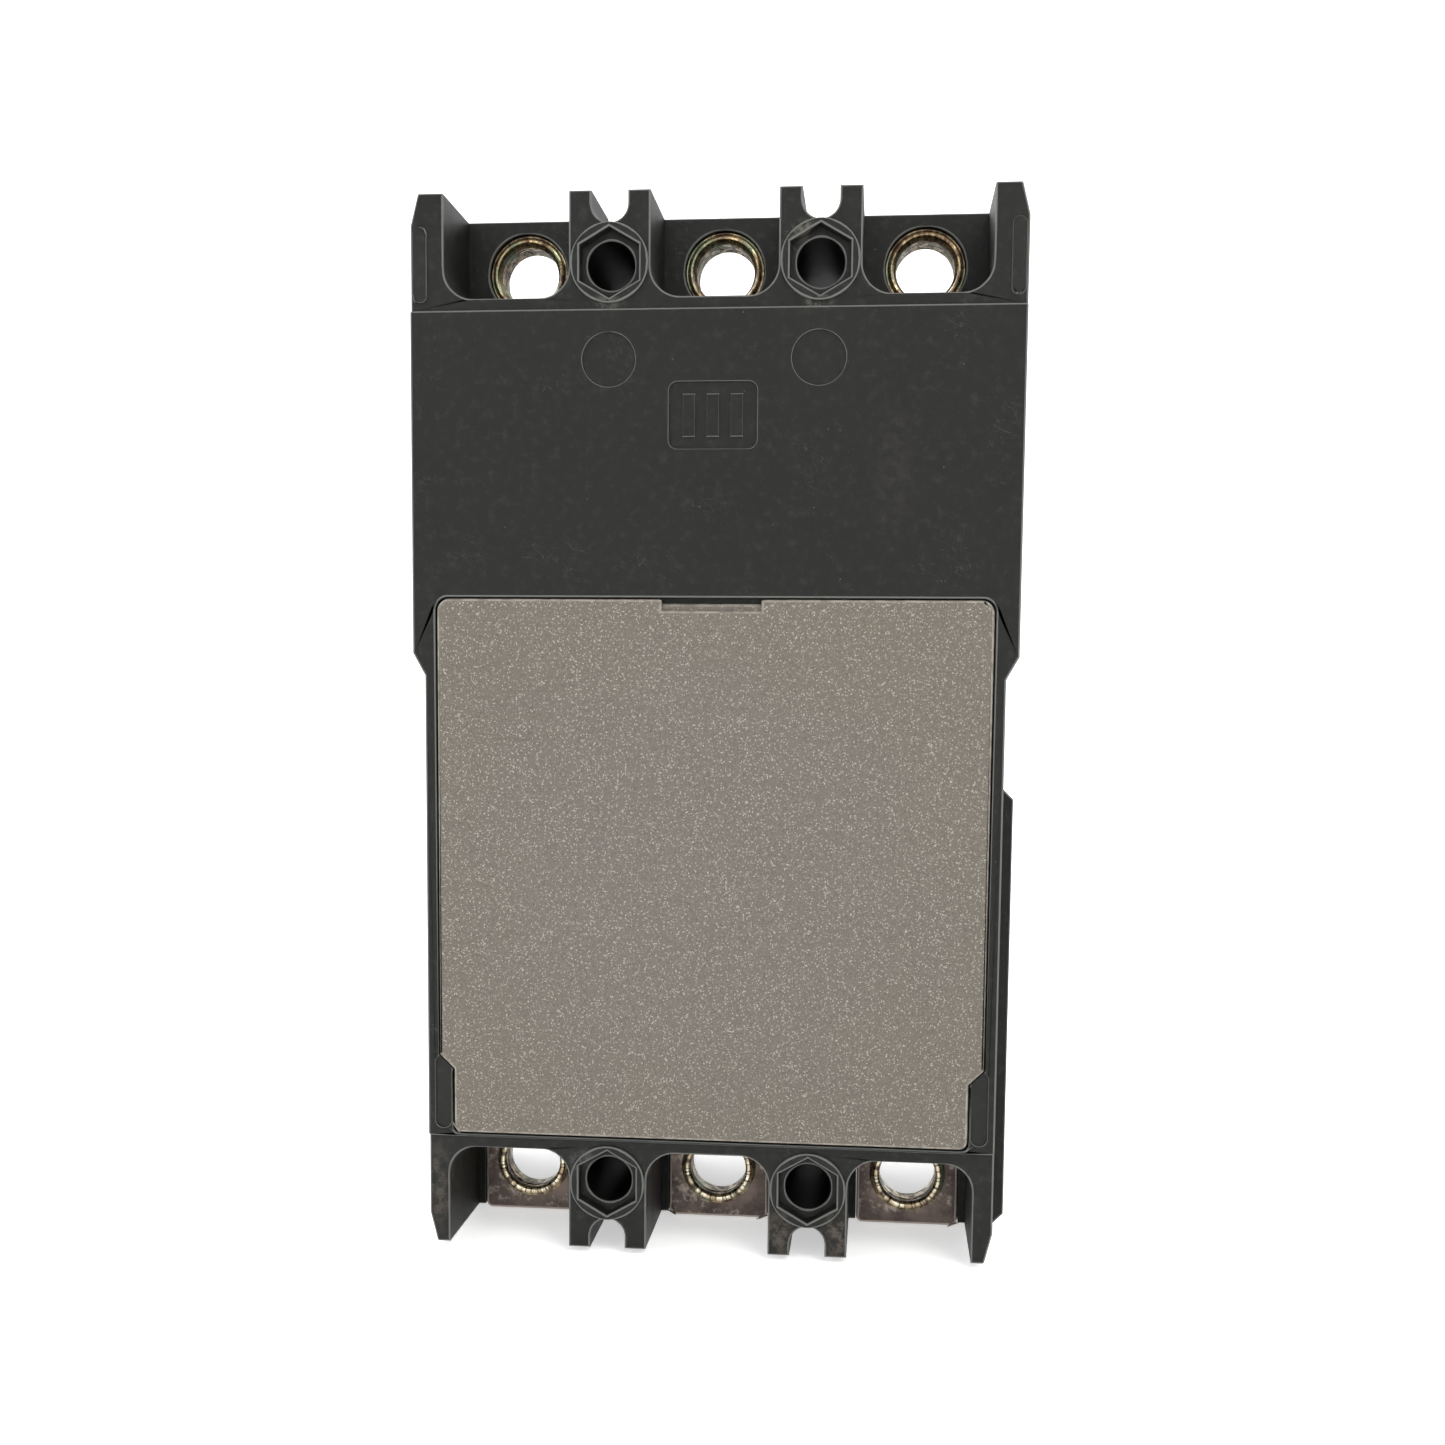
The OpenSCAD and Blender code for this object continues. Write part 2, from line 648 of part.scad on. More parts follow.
// Pressed collar with a flange on the rear side of the bar and a stepped bore
module collar(x, z, rise) {
    shank_r = collar_flange_r - 0.9;
    translate([x, -bar_depth, z]) rotate([90, 0, 0]) rotate_extrude() polygon([
        [collar_bore_r, -rise + 0.8], [collar_bore_r, bar_t], [shank_r, bar_t], [shank_r, 0],
        [collar_flange_r, 0], [collar_flange_r, -0.6], [shank_r + 0.4, -0.8], [shank_r + 0.4, -rise + 0.4],
        [shank_r, -rise], [collar_bore_r + 0.6, -rise], [collar_bore_r + 0.4, -rise + 0.8]
    ]);
}

module line_terminal_collars() {
    color("#c9b27a") for (i = POLES) collar(i * pole_pitch, term_z, 3);
}

module load_terminal_collars() {
    color("#c9b27a") for (i = POLES) collar(i * pole_pitch, -term_z, 1.6);
}

module fixed_contact_tips() {
    color("#c8c8c2") for (i = POLES) block([i * pole_pitch - 4, i * pole_pitch + 4],
        [contact_face_depth - tip_t, contact_face_depth], [tip_z - 4, tip_z + 4]);
}

chute_z = [tip_z + 7.5, tip_z + 28];
chute_wall = 1.5;
chute_x = cavity_x - pole_pitch - chute_wall - loose;
chute_depth = [13.5, shoulder_depth - front_wall - 9];

module arc_chute_walls(i) {
    color("#c4b8a0") both_sides_of(i * pole_pitch) difference() {
        block([chute_x, chute_x + chute_wall], chute_depth, chute_z);
        for (k = [0:arc_plates_n - 1]) for (z = [chute_z[0] + 3, chute_z[1] - 7])
            block([chute_x - 1, chute_x + chute_wall + 1], plate_span(k) + [-0.05, 0.05], [z, z + 4]);
    }
}

module both_sides_of(x) {
    translate([x, 0, 0]) both_sides() children();
}

function plate_span(k) =
    let (first = bar_front + 1.5, pitch = (chute_depth[1] - 3 - first) / (arc_plates_n - 1))
    [first + k * pitch, first + k * pitch + arc_plate_t];

// Steel plates with a vee that faces the contact arm, held by tabs in the walls
module arc_plates(i) {
    x = i * pole_pitch;
    color("#9aa0a3") for (k = [0:arc_plates_n - 1]) {
        slab(plate_span(k)) difference() {
            translate([x - chute_x + 0.1, chute_z[0] + 1]) square([2 * chute_x - 0.2, chute_z[1] - chute_z[0] - 2]);
            polygon([[x - 7, chute_z[0]], [x + 7, chute_z[0]], [x + 2.5, chute_z[0] + 9], [x - 2.5, chute_z[0] + 9]]);
        }
        for (s = SIDES, z = [chute_z[0] + 3, chute_z[1] - 7])
            block(s > 0 ? [x + chute_x - 0.2, x + chute_x + chute_wall] : [x - chute_x - chute_wall, x - chute_x + 0.2],
                plate_span(k), [z + 0.1, z + 3.9]);
    }
}

// Everything on the crossbar is drawn with the breaker on, then opened about the crossbar axis
cheek_x = [5, 9];
cheek_r = 8.5;
web_depth = [crossbar_c[0] - 9, crossbar_c[0] - 6];
on_crank = off_crank + open_angle;

module opened() {
    turned(crossbar_c, -open_angle) children();
}

module crossbar() {
    inner = [wall_x - pole_wall / 2 - loose, wall_x + pole_wall / 2 + loose];
    ear_x = [6.4, 8.8];
    ear_tip = crossbar_c + crank_r * [cos(on_crank), sin(on_crank)];
    color("#5b3f2e") opened() difference() {
        union() {
            for (i = POLES) translate([i * pole_pitch, 0, 0]) {
                both_sides() cross_rod(crossbar_c, cheek_x, cheek_r);
                block([-cheek_x[1], cheek_x[1]], web_depth, around(crossbar_c[1], 5));
            }
            // Barrels and journals between the cages
            both_sides() {
                cross_rod(crossbar_c, [cheek_x[1] - 1, inner[0]], barrel_r);
                cross_rod(crossbar_c, [inner[0] - 1, inner[1] + 1], journal_r);
                cross_rod(crossbar_c, [inner[1], pole_pitch - cheek_x[1] + 1], barrel_r);
            }
            both_sides() section(ear_x) bar_2d(crossbar_c, ear_tip, 3);
        }
        for (i = POLES) translate([i * pole_pitch, 0, 0]) {
            cross_rod(crossbar_c, [-cheek_x[1] - 1, cheek_x[1] + 1], 2);
            // Room for the arm and the coils of its spring
            cross_rod(crossbar_c, [-cheek_x[0], cheek_x[0]], 5.6);
        }
        both_sides() cross_rod(ear_tip, ear_x + [-1, 1], 1.5);
    }
}

module crank_pins() {
    ear_tip = crossbar_c + crank_r * [cos(on_crank), sin(on_crank)];
    color("#c0c4c6") opened() both_sides() cross_rod(ear_tip, [3.6, 8.8], 1.5);
}

module arm_pivot_pins() {
    color("#c0c4c6") opened() for (i = POLES)
        cross_rod(crossbar_c, around(i * pole_pitch, cheek_x[1]), 2);
}

// Contact arm with its silver tip, tapered from the pivot to the contact
module contact_arm(i) {
    x = i * pole_pitch;
    face = contact_face_depth + loose;
    back = face + tip_t;
    c = crossbar_c;
    color("#a8745a") opened() difference() {
        union() {
            section(around(x, arm_w / 2)) {
                translate(c) circle(5);
                polygon([
                    [back, tip_z + 4.5], [back + 4, tip_z + 4.5], [back + 5, tip_z - 4], [c[0] + 4.6, c[1] + 2],
                    [c[0] + 4, c[1] - 8], [c[0] - 3, c[1] - 8], [c[0] - 4.8, c[1]], [back, tip_z - 5]
                ]);
            }
            block(around(x, 3.5), [face, back + 0.5], around(tip_z, 3.5));
        }
        cross_rod(c, around(x, arm_w), 2 + running);
    }
}

// Torsion springs beside each arm, wound round its pivot pin
module contact_springs() {
    spring_x = [arm_w / 2 + loose, cheek_x[0] - 0.2];
    color("#8e9498") opened() for (i = POLES) both_sides_of(i * pole_pitch) {
        difference() {
            cross_rod(crossbar_c, spring_x, 3.6);
            cross_rod(crossbar_c, spring_x + [-1, 1], 2.4);
            for (k = [1:2]) cross_ring(crossbar_c, spring_x[0] + 0.62 * k, 3.4, 3.8, 0.12);
        }
        // Leg that reaches back to the web of the cage
        block([spring_x[0], spring_x[0] + 0.8], [crossbar_c[0] - 5.9, crossbar_c[0] - 2.5], [crossbar_c[1] + 1.2, crossbar_c[1] + 2]);
    }
}

// Shallow groove that shows the turns of a wound spring
module cross_ring(c, x, r_in, r_out, w) {
    difference() {
        cross_rod(c, [x - w / 2, x + w / 2], r_out);
        cross_rod(c, [x - w, x + w], r_in);
    }
}

// Flexible braid from the tail of the arm to the strap of the load conductor
module braid(i) {
    tail = crossbar_c + 9.3 * [cos(-90 - open_angle), sin(-90 - open_angle)];
    strap = [35.8, load_leg_z + 15];
    sag = [tail[0] - 6, (tail[1] + strap[1]) / 2];
    color("#b5694a") section(around(i * pole_pitch, 4)) {
        bar_2d(tail, sag, 1);
        bar_2d(sag, strap, 1);
        bar_2d(strap, strap - [0, 4.5], 1);
    }
}

// Side plate of the mechanism, with a stud for the handle arm
module frame_plate(s) {
    c = crossbar_c;
    color("#9aa0a3") scale_side(s) {
        difference() {
            section(frame_x) polygon([
                [ledge_depth, ledge_z[0][1]], [ledge_depth, ledge_z[0][0]], [c[0] + 1, ledge_z[0][0] - 4],
                [c[0] + 1, c[1] + 9.4], [c[0] + 9, c[1] + 6], [c[0] + 9, c[1] - 10],
                [ledge_depth, ledge_z[1][1]], [ledge_depth, ledge_z[1][0]], [64, ledge_z[1][0]],
                [66, -14], [66, 16], [64, 30], [48, 30]
            ]);
            for (p = [cradle_c, latch_c]) cross_rod(p, frame_x + [-1, 1], 2);
        }
        cross_rod(handle_c, [frame_x[1] - 0.2, arm_leg_x[1] + 0.5], 2.5);
    }
}

module frame_tie_pins() {
    color("#c0c4c6") {
        for (p = [cradle_c, latch_c]) {
            cross_rod(p, around(0, frame_x[1]), 2);
            // Sleeves that keep the plates apart
            both_sides() cross_rod(p, [2.3, frame_x[0] - 0.05], 2.8);
        }
    }
}

// The handle group is drawn pointing straight to the front, then turned to off
module at_off() {
    turned(handle_c, handle_off) children();
}

module handle_arm() {
    color("#a9adb0") at_off() {
        both_sides() difference() {
            section(arm_leg_x) {
                translate(handle_c) circle(5);
                translate([handle_c[0], -4]) square([bridge_r[1], 8]);
            }
            cross_rod(handle_c, arm_leg_x + [-1, 1], 2.5 + running);
        }
        block(around(0, arm_leg_x[1]), [handle_c[0] + bridge_r[0], handle_c[0] + bridge_r[1]], [-4, 4]);
    }
}

module handle() {
    top = case_depth - handle_c[0] + grip_l;
    foot = bridge_r[1];
    flare = 5;
    color("#262827") at_off() intersection() {
        section([-20, 20]) translate(handle_c) polygon([
            [foot, -neck_t / 2], [foot + 12, -neck_t / 2], [top - 14, -neck_t / 2 - 0.8], [top - 2, -neck_t / 2 - 1.8],
            [top, -neck_t / 2], [top, neck_t / 2], [top - 2, neck_t / 2 + 1.8], [top - 14, neck_t / 2 + 0.8],
            [foot + 12, neck_t / 2], [foot, neck_t / 2]
        ]);
        translate([0, -handle_c[0], 0]) mirror([0, 1, 0]) translate([0, 0, -20]) linear_extrude(40)
            polygon([
                [-handle_w / 2, foot], [-handle_w / 2, top - flare], [-handle_w / 2 + 2, top],
                [handle_w / 2 - 2, top], [handle_w / 2, top - flare], [handle_w / 2, foot]
            ]);
    }
}

// Curved shield that closes the window at every handle position
module handle_shutter() {
    half = handle_w / 2 + 4;
    color("#2e302f") at_off() difference() {
        section(around(0, half)) translate(handle_c) arc_2d(shutter_r, shutter_half_angle);
        block(around(0, handle_w / 2 + 0.05), [handle_c[0] + shutter_r[0] - 5, handle_c[0] + shutter_r[1] + 5],
            around(0, neck_t / 2 + 0.05));
    }
}

module cradle() {
    c = cradle_c;
    k = knee_c;
    color("#b0a98c") {
        difference() {
            section([-1.5, 1.5]) {
                translate(c) circle(4);
                polygon([
                    [c[0] - 3, c[1] + 3], [c[0] + 3.5, c[1] + 3], [c[0] + 5, k[1]], [c[0] + 4, cradle_tip_z + 5],
                    [c[0] + 1.5, cradle_tip_z], [c[0] - 0.8, cradle_tip_z], [c[0] - 0.8, k[1] - 4], [c[0] - 3, k[1]]
                ]);
            }
            cross_rod(c, [-3, 3], 2 + running);
        }
        // Boss of the toggle pivot, which ends just short of the upper links
        cross_rod(k, [-1.9, 1.9], 1.5);
    }
}

module link_plate(a, b, x, hole_r) {
    difference() {
        section(x) bar_2d(a, b, 3);
        for (p = [a, b]) cross_rod(p, x + [-1, 1], hole_r);
    }
}

module upper_links() {
    color("#a9adb0") both_sides() link_plate(toggle_p, knee_c, [2.3, 3.9], 1.5 + running);
}

module lower_links() {
    color("#a9adb0") both_sides() link_plate(crank_p, toggle_p, [4.2, 6], 1.5 + running);
}

spring_x = 9.6;

module toggle_pin() {
    color("#c0c4c6") difference() {
        cross_rod(toggle_p, around(0, 11.4), 1.5 - eps);
        both_sides() cross_ring(toggle_p, spring_x, 1.1, 2, 1);
    }
}

// Two tension springs from the toggle pin to the bridge of the handle arm
module main_springs() {
    top = handle_c + (bridge_r[0] - 0.2) * [cos(handle_off), sin(handle_off)];
    d = top - toggle_p;
    color("#8e9498") both_sides()
        translate([spring_x, -toggle_p[0], toggle_p[1]]) rotate([90 - atan2(d[1], d[0]), 0, 0])
            translate([0, 0, 1.8]) coil(2.1, 0.45, norm(d) - 2.4, 9);
}

module trip_latch() {
    c = latch_c;
    top = cradle_tip_z - 0.5;
    tail_z = trip_c[1] + 7.8;
    color("#b0a98c") difference() {
        section([-2, 2]) {
            translate(c) circle(3.6);
            polygon([
                [c[0] - 1.5, c[1]], [c[0] - 0.5, top], [c[0] + 3.5, top], [c[0] + 3.5, c[1]],
                [c[0], c[1] - 3.6], [c[0] - 2.7, c[1] - 7], [c[0] - 2.7, tail_z], [c[0] - 5.2, tail_z],
                [c[0] - 5.2, c[1] - 7], [c[0] - 3.4, c[1] - 1.2]
            ]);
        }
        cross_rod(c, [-3, 3], 2 + running);
    }
}

module trip_bar() {
    c = trip_c;
    finger = [c[0] + 1, c[0] + 4];
    foot_z = [load_leg_z - 0.5, load_leg_z + 1.3];
    color("#5b3f2e") {
        cross_rod(c, around(0, cavity_x - 2.5), trip_r);
        for (i = POLES) {
            block(around(i * pole_pitch, 2.5), finger, [foot_z[0], c[1]]);
            block(around(i * pole_pitch, 2.5), [finger[0], c[0] + 8.5], foot_z);
        }
        block(around(button_x, 2.5), around(c[0], 1.5), [c[1], button_at[1] + 1]);
        block(around(0, 2), around(c[0], 1.5), [c[1], c[1] + 7]);
    }
}

armature_c = [49.3, load_leg_z];

module armature(i) {
    x = i * pole_pitch;
    color("#9aa0a3") {
        block(around(x, 8), [48.5, 50], [load_leg_z + 3, load_leg_z + 14]);
        block(around(x, 6.3), [48.5, 50], [load_leg_z - 0.9, load_leg_z + 3.2]);
        cross_rod(armature_c, around(x, 8.6), 1);
    }
}

// Steel yoke around each strap, with lugs that carry the armature
module magnet_yokes() {
    z = load_leg_z;
    color("#8d9396") for (i = POLES) translate([i * pole_pitch, 0, 0]) {
        block(around(0, 9), [33.5, 35], [z + 2, z + 9]);
        both_sides() difference() {
            union() {
                block([7, 9], [33.5, 46], [z + 2, z + 9]);
                block([7, 9], [41, 46], [z - 1.5, z + 3]);
                block([7, 9], [45, 51.2], [z - 2, z + 1.8]);
            }
            cross_rod(armature_c, [6, 10], 1 + running);
        }
    }
}

module bimetal(i) {
    x = i * pole_pitch;
    z = load_leg_z - 3;
    color("#8b8577") difference() {
        block(around(x, 4), [28, 65], [z - bimetal_t, z]);
        translate([x, -trip_c[0] - 6.5, z - 2]) cylinder(r = 1.5, h = 4);
    }
}

module calibration_screws() {
    z = load_leg_z - 3;
    color("#c0c4c6") for (i = POLES) translate([i * pole_pitch, -trip_c[0] - 6.5, 0]) {
        translate([0, 0, z - 4]) cylinder(r = 1.5, h = 5.2);
        difference() {
            translate([0, 0, z - 5]) cylinder(r = 2.4, h = 1.6);
            translate([-3, -0.3, z - 6]) cube([6, 0.6, 1.6]);
        }
    }
}

module trip_button() {
    x = button_x;
    z = button_at[1];
    flange = [nose_wall_depth - 1.7, nose_wall_depth - 0.1];
    color("#b0402a") {
        depth_rod(x, z, [flange[0], case_depth + 0.5], button_r);
        depth_rod(x, z, flange, button_tube[0] - 0.3);
        depth_rod(x, z, [trip_c[0] + 1.5 + 0.5, flange[1]], button_shaft_r);
    }
}

module trip_button_spring() {
    x = button_x;
    z = button_at[1];
    seat = button_lip_depth[1] + 0.05;
    color("#8e9498") translate([x, -seat, z]) rotate([90, 0, 0])
        coil(3.2, 0.4, nose_wall_depth - 1.75 - seat, 6);
}

// Dial with a driver slot, held behind the cover by its flange
module dial(x) {
    z = dial_z;
    head = case_depth - 0.6;
    color("#d6c24a") difference() {
        union() {
            depth_rod(x, z, [nose_wall_depth - 1.6, head], dial_r);
            depth_rod(x, z, [nose_wall_depth - 1.6, nose_wall_depth - 0.1], dial_flange_r);
            depth_rod(x, z, [nose_wall_depth - 9, nose_wall_depth - 1], 2);
        }
        block([x - 0.6, x + 0.6], [head - 1.2, head + 1], [z - 3, z + 3]);
        depth_rod(x, z + 3.4, [head - 0.5, head + 1], 0.6);
    }
}

base();
rear_cover();
cover();
accessory_cover();
rating_label();
cover_screws();
accessory_cover_screws();
line_terminal(-1);  // line_terminal_1
line_terminal(0);  // line_terminal_2
line_terminal(1);  // line_terminal_3
load_terminal(-1);  // load_terminal_1
load_terminal(0);  // load_terminal_2
load_terminal(1);  // load_terminal_3
line_terminal_collars();
load_terminal_collars();
fixed_contact_tips();
arc_chute_walls(-1);  // arc_chute_walls_1
arc_chute_walls(0);  // arc_chute_walls_2
arc_chute_walls(1);  // arc_chute_walls_3
arc_plates(-1);  // arc_plates_1
arc_plates(0);  // arc_plates_2
arc_plates(1);  // arc_plates_3
crossbar();
crank_pins();
arm_pivot_pins();
contact_arm(-1);  // contact_arm_1
contact_arm(0);  // contact_arm_2
contact_arm(1);  // contact_arm_3
contact_springs();
braid(-1);  // braid_1
braid(0);  // braid_2
braid(1);  // braid_3
frame_plate(-1);  // frame_plate_left
frame_plate(1);  // frame_plate_right
frame_tie_pins();
handle_arm();
handle();
handle_shutter();
cradle();
upper_links();
lower_links();
toggle_pin();
main_springs();
trip_latch();
trip_bar();
armature(-1);  // armature_1
armature(0);  // armature_2
armature(1);  // armature_3
magnet_yokes();
bimetal(-1);  // bimetal_1
bimetal(0);  // bimetal_2
bimetal(1);  // bimetal_3
calibration_screws();
trip_button();
trip_button_spring();
dial(dial_x[0]);  // thermal_dial
dial(dial_x[1]);  // magnetic_dial
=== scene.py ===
import json
import math

import bmesh
import bpy
from mathutils import Matrix, Vector


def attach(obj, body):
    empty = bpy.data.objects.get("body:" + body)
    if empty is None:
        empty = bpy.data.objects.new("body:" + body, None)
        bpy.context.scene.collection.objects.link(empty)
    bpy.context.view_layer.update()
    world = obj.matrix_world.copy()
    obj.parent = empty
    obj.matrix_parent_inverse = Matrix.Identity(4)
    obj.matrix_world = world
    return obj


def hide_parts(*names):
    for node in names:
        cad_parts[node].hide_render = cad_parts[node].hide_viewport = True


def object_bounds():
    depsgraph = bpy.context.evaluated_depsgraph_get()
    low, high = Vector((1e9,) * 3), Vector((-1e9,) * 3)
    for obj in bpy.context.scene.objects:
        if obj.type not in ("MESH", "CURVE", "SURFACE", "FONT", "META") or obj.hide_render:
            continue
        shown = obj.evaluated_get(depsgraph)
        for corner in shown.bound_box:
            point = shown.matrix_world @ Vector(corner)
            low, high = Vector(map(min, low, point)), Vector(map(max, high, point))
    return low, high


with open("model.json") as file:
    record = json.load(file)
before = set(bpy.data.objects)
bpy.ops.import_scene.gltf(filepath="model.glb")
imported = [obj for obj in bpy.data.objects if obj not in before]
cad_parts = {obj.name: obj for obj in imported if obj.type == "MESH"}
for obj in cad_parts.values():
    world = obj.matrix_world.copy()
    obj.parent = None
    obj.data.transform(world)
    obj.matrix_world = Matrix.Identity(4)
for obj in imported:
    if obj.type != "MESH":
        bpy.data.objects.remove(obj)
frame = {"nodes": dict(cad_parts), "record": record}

cad_low, cad_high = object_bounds()
scene = bpy.context.scene
scene.view_settings.view_transform = "Standard"


# ---------------------------------------------------------------- Studio
# A pale round cove stands under and behind the breaker, so that the floor meets
# the wall in a soft curve. Large soft lights hang above and beside it.

def put(tree, kind, inputs=None, **settings):
    """Adds a node to a tree, sets its properties, and fills or links its inputs."""
    node = tree.nodes.new(kind)
    for key, value in settings.items():
        setattr(node, key, value)
    for key, value in (inputs or {}).items():
        if isinstance(value, bpy.types.NodeSocket):
            tree.links.new(value, node.inputs[key])
        else:
            node.inputs[key].default_value = value
    return node


def new_finish(name, **constants):
    """Starts a material: returns it with its tree, its shader and the place in millimetres."""
    material = bpy.data.materials.new(name)
    material.use_nodes = True
    tree = material.node_tree
    shader = tree.nodes["Principled BSDF"]
    for key, value in constants.items():
        shader.inputs[key.replace("_", " ")].default_value = value
    place = put(tree, "ShaderNodeTexCoord").outputs["Object"]
    scaled = put(tree, "ShaderNodeVectorMath", {0: place, "Scale": 1000.0}, operation="SCALE")
    return material, tree, shader, scaled.outputs[0]


def ramp(tree, value, low, high, to_low=0.0, to_high=1.0):
    """Maps a value from one span to another, smoothly and clamped."""
    return put(tree, "ShaderNodeMapRange", {
        "Value": value, "From Min": low, "From Max": high, "To Min": to_low, "To Max": to_high,
    }, interpolation_type="SMOOTHSTEP").outputs[0]


def blend_colours(tree, share, first, second):
    """Mixes two colours or colour sockets."""
    mix = put(tree, "ShaderNodeMix", data_type="RGBA")
    for index, value in ((0, share), (6, first), (7, second)):
        if isinstance(value, bpy.types.NodeSocket):
            tree.links.new(value, mix.inputs[index])
        else:
            mix.inputs[index].default_value = value if index == 0 else (*value, 1.0)
    return mix.outputs[2]


def noise(tree, place, scale, detail=2.0, roughness=0.5):
    """Noise with about `scale` features per millimetre."""
    return put(tree, "ShaderNodeTexNoise", {
        "Vector": place, "Scale": scale, "Detail": detail, "Roughness": roughness,
    }).outputs["Fac"]


def calculate(tree, operation, first, second=0.0):
    """Result of a sum on two values, or on the first alone."""
    return put(tree, "ShaderNodeMath", {0: first, 1: second}, operation=operation).outputs[0]


def clear_selection():
    """Leaves edit mode with nothing selected."""
    if bpy.context.object and bpy.context.object.mode != "OBJECT":
        bpy.ops.object.mode_set(mode="OBJECT")
    bpy.ops.object.select_all(action="DESELECT")


floor_z = cad_low.z - 0.0004
cove_radius = 1.1
cove_curve = 0.6
clear_selection()
bpy.ops.mesh.primitive_circle_add(
    vertices=128, radius=cove_radius, fill_type="NGON", location=(0, 0, floor_z))
cove = bpy.context.object
cove.name = "studio_cove"
bpy.ops.object.mode_set(mode="EDIT")
bpy.ops.mesh.select_all(action="SELECT")
bpy.ops.mesh.inset(thickness=0.02)
bpy.ops.mesh.select_all(action="DESELECT")
bpy.ops.mesh.select_non_manifold()
radius, height = cove_radius, 0.0
cove_steps = 12
wall_height = 0.9
for step in range(1, cove_steps + 1):
    turn = math.radians(90 / cove_steps * step)
    next_radius = cove_radius + cove_curve * math.sin(turn)
    next_height = cove_curve * (1 - math.cos(turn))
    bpy.ops.mesh.extrude_edges_move(TRANSFORM_OT_translate={"value": (0, 0, next_height - height)})
    bpy.ops.transform.resize(value=(next_radius / radius, next_radius / radius, 1), center_override=(0, 0, 0))
    radius, height = next_radius, next_height
bpy.ops.mesh.extrude_edges_move(TRANSFORM_OT_translate={"value": (0, 0, wall_height)})
bpy.ops.object.mode_set(mode="OBJECT")
bpy.ops.object.shade_smooth()
paper, tree, shader, place = new_finish("studio_paper", Roughness=0.9)
shader.inputs["Base Color"].default_value = (0.9, 0.9, 0.9, 1)
shader.inputs["Emission Color"].default_value = (1.0, 1.0, 1.0, 1)
shader.inputs["Emission Strength"].default_value = 0.5
cove.data.materials.append(paper)

world = bpy.data.worlds.new("studio_air")
world.use_nodes = True
world.node_tree.nodes["Background"].inputs["Color"].default_value = (1.0, 1.0, 1.0, 1)
world.node_tree.nodes["Background"].inputs["Strength"].default_value = 0.35
scene.world = world


def soft_light(name, at, size, power, colour=(1, 1, 1)):
    """Area light that faces the middle of the breaker."""
    data = bpy.data.lights.new(name, "AREA")
    data.shape = "RECTANGLE"
    data.size, data.size_y = size
    data.energy = power
    data.color = colour
    lamp = bpy.data.objects.new(name, data)
    scene.collection.objects.link(lamp)
    lamp.location = at
    lit_point = Vector((0, -0.02, 0))
    lamp.rotation_euler = (lit_point - Vector(at)).to_track_quat("-Z", "Y").to_euler()


soft_light("key_light", (-0.45, 0.55, 0.75), (0.4, 0.4), 4.2, (1.0, 0.98, 0.95))
soft_light("fill_light", (0.75, 0.6, 0.35), (0.6, 0.6), 1.3, (0.95, 0.98, 1.0))
soft_light("front_light", (0.5, -0.8, 0.7), (0.7, 0.7), 5)
soft_light("top_light", (0.0, -0.1, 1.1), (0.9, 0.9), 6)

camera_data = bpy.data.cameras.new("camera")
camera_data.lens = 39.86
camera_data.sensor_width = 36.0
camera_data.shift_y = 0.0761
camera_data.clip_start = 0.01
camera = bpy.data.objects.new("camera", camera_data)
scene.collection.objects.link(camera)
camera.location = (-0.02847, 0.26916, 0.00855)
camera.rotation_euler = [math.radians(a) for a in (84.745, -0.507, -174.39)]
scene.camera = camera


# ---------------------------------------------------------------- Case base
# The deep rear half of the case is pressed from dark thermoset resin. It keeps
# a fine skin from the mould, and handling has rubbed its outer edges paler; the pale
# edge finish is also pushed lighter as a painted highlight, and the deep mounting
# bores take a painted-shade finish.

def group_tree(name, inputs, outputs):
    """Makes a shader group with named inputs and outputs, and returns its tree and end nodes."""
    tree = bpy.data.node_groups.new(name, "ShaderNodeTree")
    for label, kind, value in inputs:
        socket = tree.interface.new_socket(name=label, in_out="INPUT", socket_type="NodeSocket" + kind)
        if value is not None:
            socket.default_value = value
    for label, kind in outputs:
        tree.interface.new_socket(name=label, in_out="OUTPUT", socket_type="NodeSocket" + kind)
    return tree, tree.nodes.new("NodeGroupInput").outputs, tree.nodes.new("NodeGroupOutput").inputs


def place_group(tree, group, **inputs):
    """Adds a shader group to a tree, fills or links its inputs, and returns its outputs."""
    node = tree.nodes.new("ShaderNodeGroup")
    node.node_tree = group
    for key, value in inputs.items():
        if isinstance(value, bpy.types.NodeSocket):
            tree.links.new(value, node.inputs[key])
        else:
            node.inputs[key].default_value = value
    return node.outputs


# Moulded skin: a height for the fine grain, and a slow change of tone
mould_skin, given, made = group_tree(
    "mould_skin", [("Place", "Vector", None), ("Grain", "Float", 2.5)],
    [("Height", "Float"), ("Tone", "Float")])
mould_skin.links.new(noise(mould_skin, given["Place"], given["Grain"], 3.0, 0.6), made["Height"])
mould_skin.links.new(noise(mould_skin, given["Place"], 0.035, 4.0, 0.6), made["Tone"])

# Wear: broken patches where dust and rubbing show
rub_marks, given, made = group_tree(
    "rub_marks", [("Place", "Vector", None), ("Size", "Float", 0.5), ("Cover", "Float", 0.5)],
    [("Mask", "Float")])
patch = noise(rub_marks, given["Place"], given["Size"], 5.0, 0.7)
edge = calculate(rub_marks, "SUBTRACT", 0.75, calculate(rub_marks, "MULTIPLY", given["Cover"], 0.5))
rub_marks.links.new(
    ramp(rub_marks, calculate(rub_marks, "SUBTRACT", patch, edge), -0.02, 0.1), made["Mask"])

